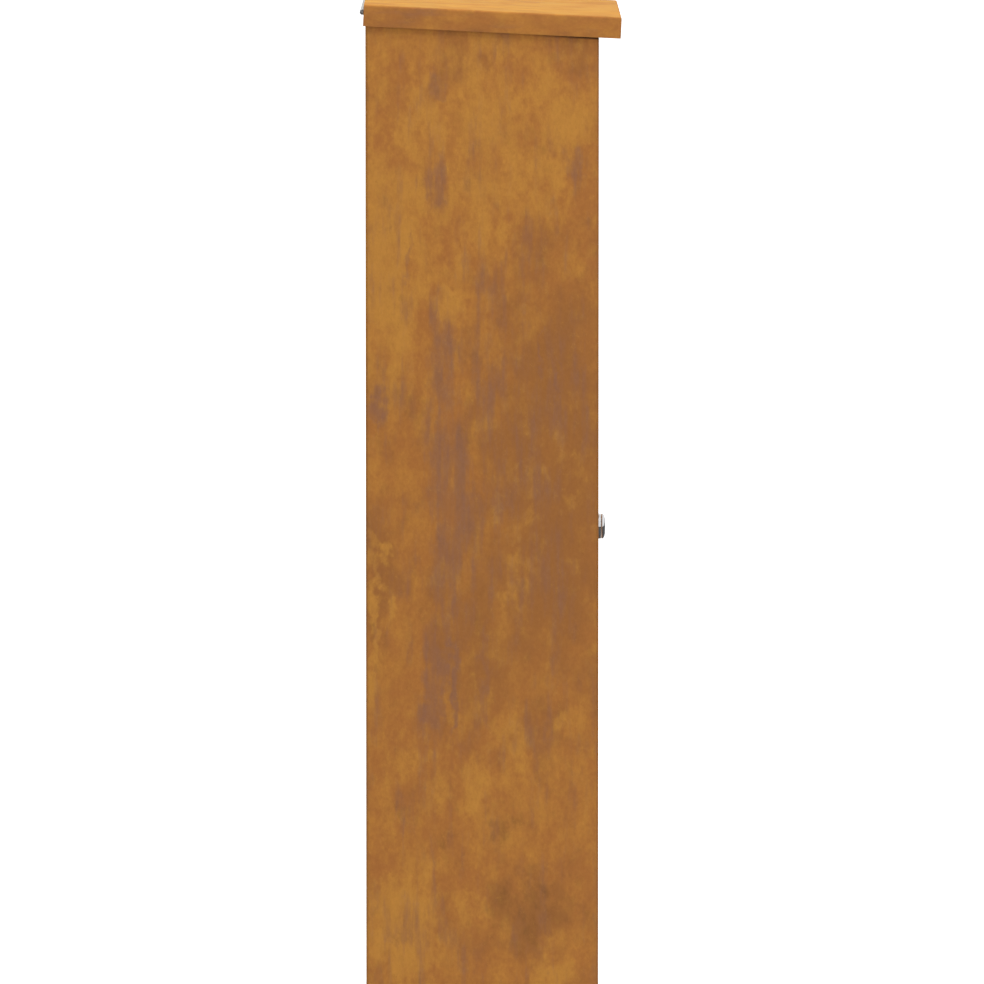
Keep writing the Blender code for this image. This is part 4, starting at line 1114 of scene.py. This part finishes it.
def rivet_row(name, prefix, body, axis, sign):
    """The rivets of one leaf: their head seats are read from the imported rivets' boxes."""
    names = [f"{prefix}_{i}" for i in range(1, 6)]
    seats = []
    for node in names:
        low, high = corners(node)
        seat = (low + high) / 2
        seat[axis] = high[axis] - HEAD if sign > 0 else low[axis] + HEAD
        seats.append(seat)
        grip = high[axis] - low[axis] - HEAD - TAIL
    turn = (-sign * pi / 2, 0, 0) if axis == 1 else (0, sign * pi / 2, 0)
    piece = grow(name, rivets, seats, stainless, {"Grip": grip, "Turn": turn})
    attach(piece, body)
    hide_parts(*names)


rivet_row("lid_hinge_rivets", "lid_hinge_rivet", "column", 1, 1)
rivet_row("jamb_leaf_rivets", "door_hinge_jamb_rivet", "column", 0, -1)
rivet_row("door_leaf_rivets", "door_hinge_door_rivet", "door", 0, 1)

# %% [markdown]
# ## Piano hinge leaves
#
# A piano hinge leaf is a strip whose notched edge is rolled round the pin. The tree makes the flat
# strip, then sweeps a short piece of strip along the curl for one knuckle and repeats it every
# second pitch. The other leaf has its knuckles in the gaps. The strip hangs along -Z, beside the pin.

# %% Geometry group: rolled leaf
leaf_tree, given, wanted = new_group(
    "rolled_leaf",
    "GeometryNodeTree",
    [
        ("Geometry", "Geometry", None),
        ("Length", "Float", 0.36),
        ("Knuckles", "Int", 13),
        ("First", "Int", 1),
        ("Knuckle Radius", "Float", 0.0026),
        ("Sheet", "Float", 0.001),
        ("Width", "Float", 0.012),
        ("Curl", "Float", radians(295)),
        ("Gap", "Float", 0.0004),
        ("Material", "Material", None),
    ],
    [("Geometry", "Geometry")],
)
tree = leaf_tree
pitch = arithmetic(tree, "DIVIDE", given["Length"], given["Knuckles"])
middle_radius = minus(tree, given["Knuckle Radius"], times(tree, given["Sheet"], 0.5))
beside_pin = times(tree, middle_radius, -1.0)
clear = plus(tree, given["Knuckle Radius"], given["Gap"])

strip_size = combine(tree, given["Length"], given["Sheet"], minus(tree, given["Width"], clear))
strip = add_node(tree, "GeometryNodeMeshCube", Size=strip_size).outputs["Mesh"]
strip_drop = times(tree, plus(tree, given["Width"], clear), -0.5)
strip = moved_by(tree, strip, Translation=combine(tree, y=beside_pin, z=strip_drop))

arc = add_node(tree, "GeometryNodeCurveArc", Resolution=40, Radius=middle_radius, Start_Angle=pi)
feed(tree, arc.inputs["Sweep Angle"], times(tree, given["Curl"], -1.0))
curl = moved_by(tree, arc.outputs["Curve"], Rotation=(pi / 2, 0, pi / 2))
knuckle_width = minus(tree, pitch, given["Gap"])
section = tree.nodes.new("GeometryNodeCurvePrimitiveQuadrilateral")
feed(tree, section.inputs["Width"], knuckle_width)
feed(tree, section.inputs["Height"], given["Sheet"])
swept = add_node(tree, "GeometryNodeCurveToMesh", Curve=curl, Profile_Curve=section.outputs[0])
feed(tree, swept.inputs["Fill Caps"], True)

neck_height = plus(tree, clear, 0.0002)
neck_size = combine(tree, knuckle_width, given["Sheet"], neck_height)
neck = add_node(tree, "GeometryNodeMeshCube", Size=neck_size).outputs["Mesh"]
neck_place = combine(tree, y=beside_pin, z=times(tree, neck_height, -0.5))
neck = moved_by(tree, neck, Translation=neck_place)
knuckle = joined_up(tree, swept.outputs[0], neck)

from_end = times(tree, plus(tree, given["First"], 0.5), pitch)
first_x = minus(tree, from_end, times(tree, given["Length"], 0.5))
spare = minus(tree, plus(tree, given["Knuckles"], 1.0), given["First"])
count = arithmetic(tree, "FLOOR", arithmetic(tree, "DIVIDE", spare, 2.0))
row = tree.nodes.new("GeometryNodeMeshLine")
feed(tree, row.inputs["Count"], count)
feed(tree, row.inputs["Start Location"], combine(tree, first_x))
feed(tree, row.inputs["Offset"], combine(tree, times(tree, pitch, 2.0)))
copies = set_on(tree, row.outputs[0], knuckle)
close_with_material(tree, joined_up(tree, copies, strip), given["Material"], wanted)
print("rolled leaf:", len(tree.nodes), "nodes")

# %% Roll the leaves and place them on their pins
def rolled_leaf(node, body, settings, matrix):
    piece = grow(node + "_rolled", leaf_tree, [(0, 0, 0)], stainless, settings, sharp=30)
    piece.data.transform(matrix)
    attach(piece, body)
    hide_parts(node)


def frame_from(u, v, along, origin):
    """Turns the tree's own axes (along = X, u = Y, v = Z) into the row frame."""
    turned_axes = Matrix((along, u, v)).transposed().to_4x4()
    return Matrix.Translation(origin) @ turned_axes


pin_low, pin_high = corners("lid_hinge_pin")
lid_axis = (pin_low + pin_high) / 2
short_leaf = {"Length": pin_high.x - pin_low.x, "First": 0}
pin_low, pin_high = corners("door_hinge_pin")
door_axis = (pin_low + pin_high) / 2
tall_leaf = {"Length": pin_high.z - pin_low.z, "Knuckles": 17}

on_back = frame_from((0, 1, 0), (0, 0, 1), (1, 0, 0), lid_axis)
on_jamb = frame_from((-1, 0, 0), (0, -1, 0), (0, 0, 1), door_axis)
on_door = frame_from((1, 0, 0), (0, -1, 0), (0, 0, 1), door_axis)
rolled_leaf("lid_hinge_body_leaf", "column", short_leaf, on_back)
rolled_leaf("door_hinge_jamb_leaf", "column", {**tall_leaf, "First": 0}, on_jamb)
rolled_leaf("door_hinge_door_leaf", "door", {**tall_leaf, "First": 1}, on_door)
dressed_copy("lid_hinge_lid_leaf", stainless, "lid", edge=0)

# %% [markdown]
# ## Weld stitches and spot welds
#
# The header is stitch welded to the jambs from inside, and the lid's hinge leaf is spot welded
# under the lid. A stitch is a row of overlapping drops, each a little different in size, and a spot
# weld is a single very flat drop, so one tree makes both.

# %% Geometry group: weld drops
welds, given, wanted = new_group(
    "weld_drops",
    "GeometryNodeTree",
    [
        ("Geometry", "Geometry", None),
        ("Drops", "Int", 18),
        ("Pitch", "Float", 0.0012),
        ("Drop Size", "Vector", (0.0016, 0.0016, 0.0013)),
        ("Variation", "Float", 0.15),
        ("Seed", "Int", 4),
        ("Turn", "Vector", (0, 0, 0)),
        ("Material", "Material", None),
    ],
    [("Geometry", "Geometry")],
)
tree = welds
row = tree.nodes.new("GeometryNodeMeshLine")
feed(tree, row.inputs["Count"], given["Drops"])
feed(tree, row.inputs["Offset"], combine(tree, z=given["Pitch"]))
drop = add_node(tree, "GeometryNodeMeshUVSphere", Segments=20, Rings=12, Radius=1.0).outputs["Mesh"]
drop = moved_by(tree, drop, Scale=given["Drop Size"], Rotation=given["Turn"])
vary = tree.nodes.new("FunctionNodeRandomValue")
feed(tree, vary.inputs[2], minus(tree, 1.0, given["Variation"]))
feed(tree, vary.inputs[3], 1.0)
feed(tree, vary.inputs["Seed"], given["Seed"])
stitch = set_on(tree, row.outputs[0], drop, Scale=vary.outputs[1])
stitches = set_on(tree, given["Geometry"], stitch)
close_with_material(tree, stitches, given["Material"], wanted)
print("weld drops:", len(tree.nodes), "nodes")

# %% Weld the header and the lid's leaf
SEAM_X = header_high.x
SEAM_Y = header_low.y + 0.002
STITCH = 18 * 0.0012
starts = []
for side in (-1, 1):
    for z in (header_low.z + 0.016, header_high.z - 0.008 - STITCH):
        starts.append((side * (SEAM_X - 0.0004), SEAM_Y + 0.0002, z))
piece = grow("header_weld_stitches", welds, starts, rust_inside, {})
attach(piece, "column")

LID_TILT = radians(2.8)
LEAF_FACE = 0.0047
LEAF_MIDDLE = -0.0105
tilt = Matrix.Rotation(LID_TILT, 4, "X")
spots = []
for i in range(9):
    local = Vector((-0.160 + 0.040 * i, LEAF_MIDDLE, LEAF_FACE))
    spots.append(lid_axis + tilt @ local)
flat_drop = {"Drops": 1, "Drop Size": (0.0022, 0.0022, 0.00022), "Variation": 0.0}
flat_drop["Turn"] = (LID_TILT, 0, 0)
piece = grow("lid_leaf_spot_welds", welds, spots, stainless, flat_drop)
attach(piece, "lid")

# %% [markdown]
# ## Finishes for the small parts
#
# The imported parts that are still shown, such as the hinge pins, keep their meshes and get a finish
# by their material slot.

# %% Give each small part its finish
FINISH_BY_SLOT = {"stainless": stainless, "chrome": chrome, "zinc_plate": zinc, "black_rubber": rubber}
slot_of = {part["node"]: part["material_slot"] for part in frame["record"]["subparts"]}
for node, slot in slot_of.items():
    if slot in FINISH_BY_SLOT and not nodes[node].hide_render:
        nodes[node].data.materials.clear()
        nodes[node].data.materials.append(FINISH_BY_SLOT[slot])
        print("finished", node)
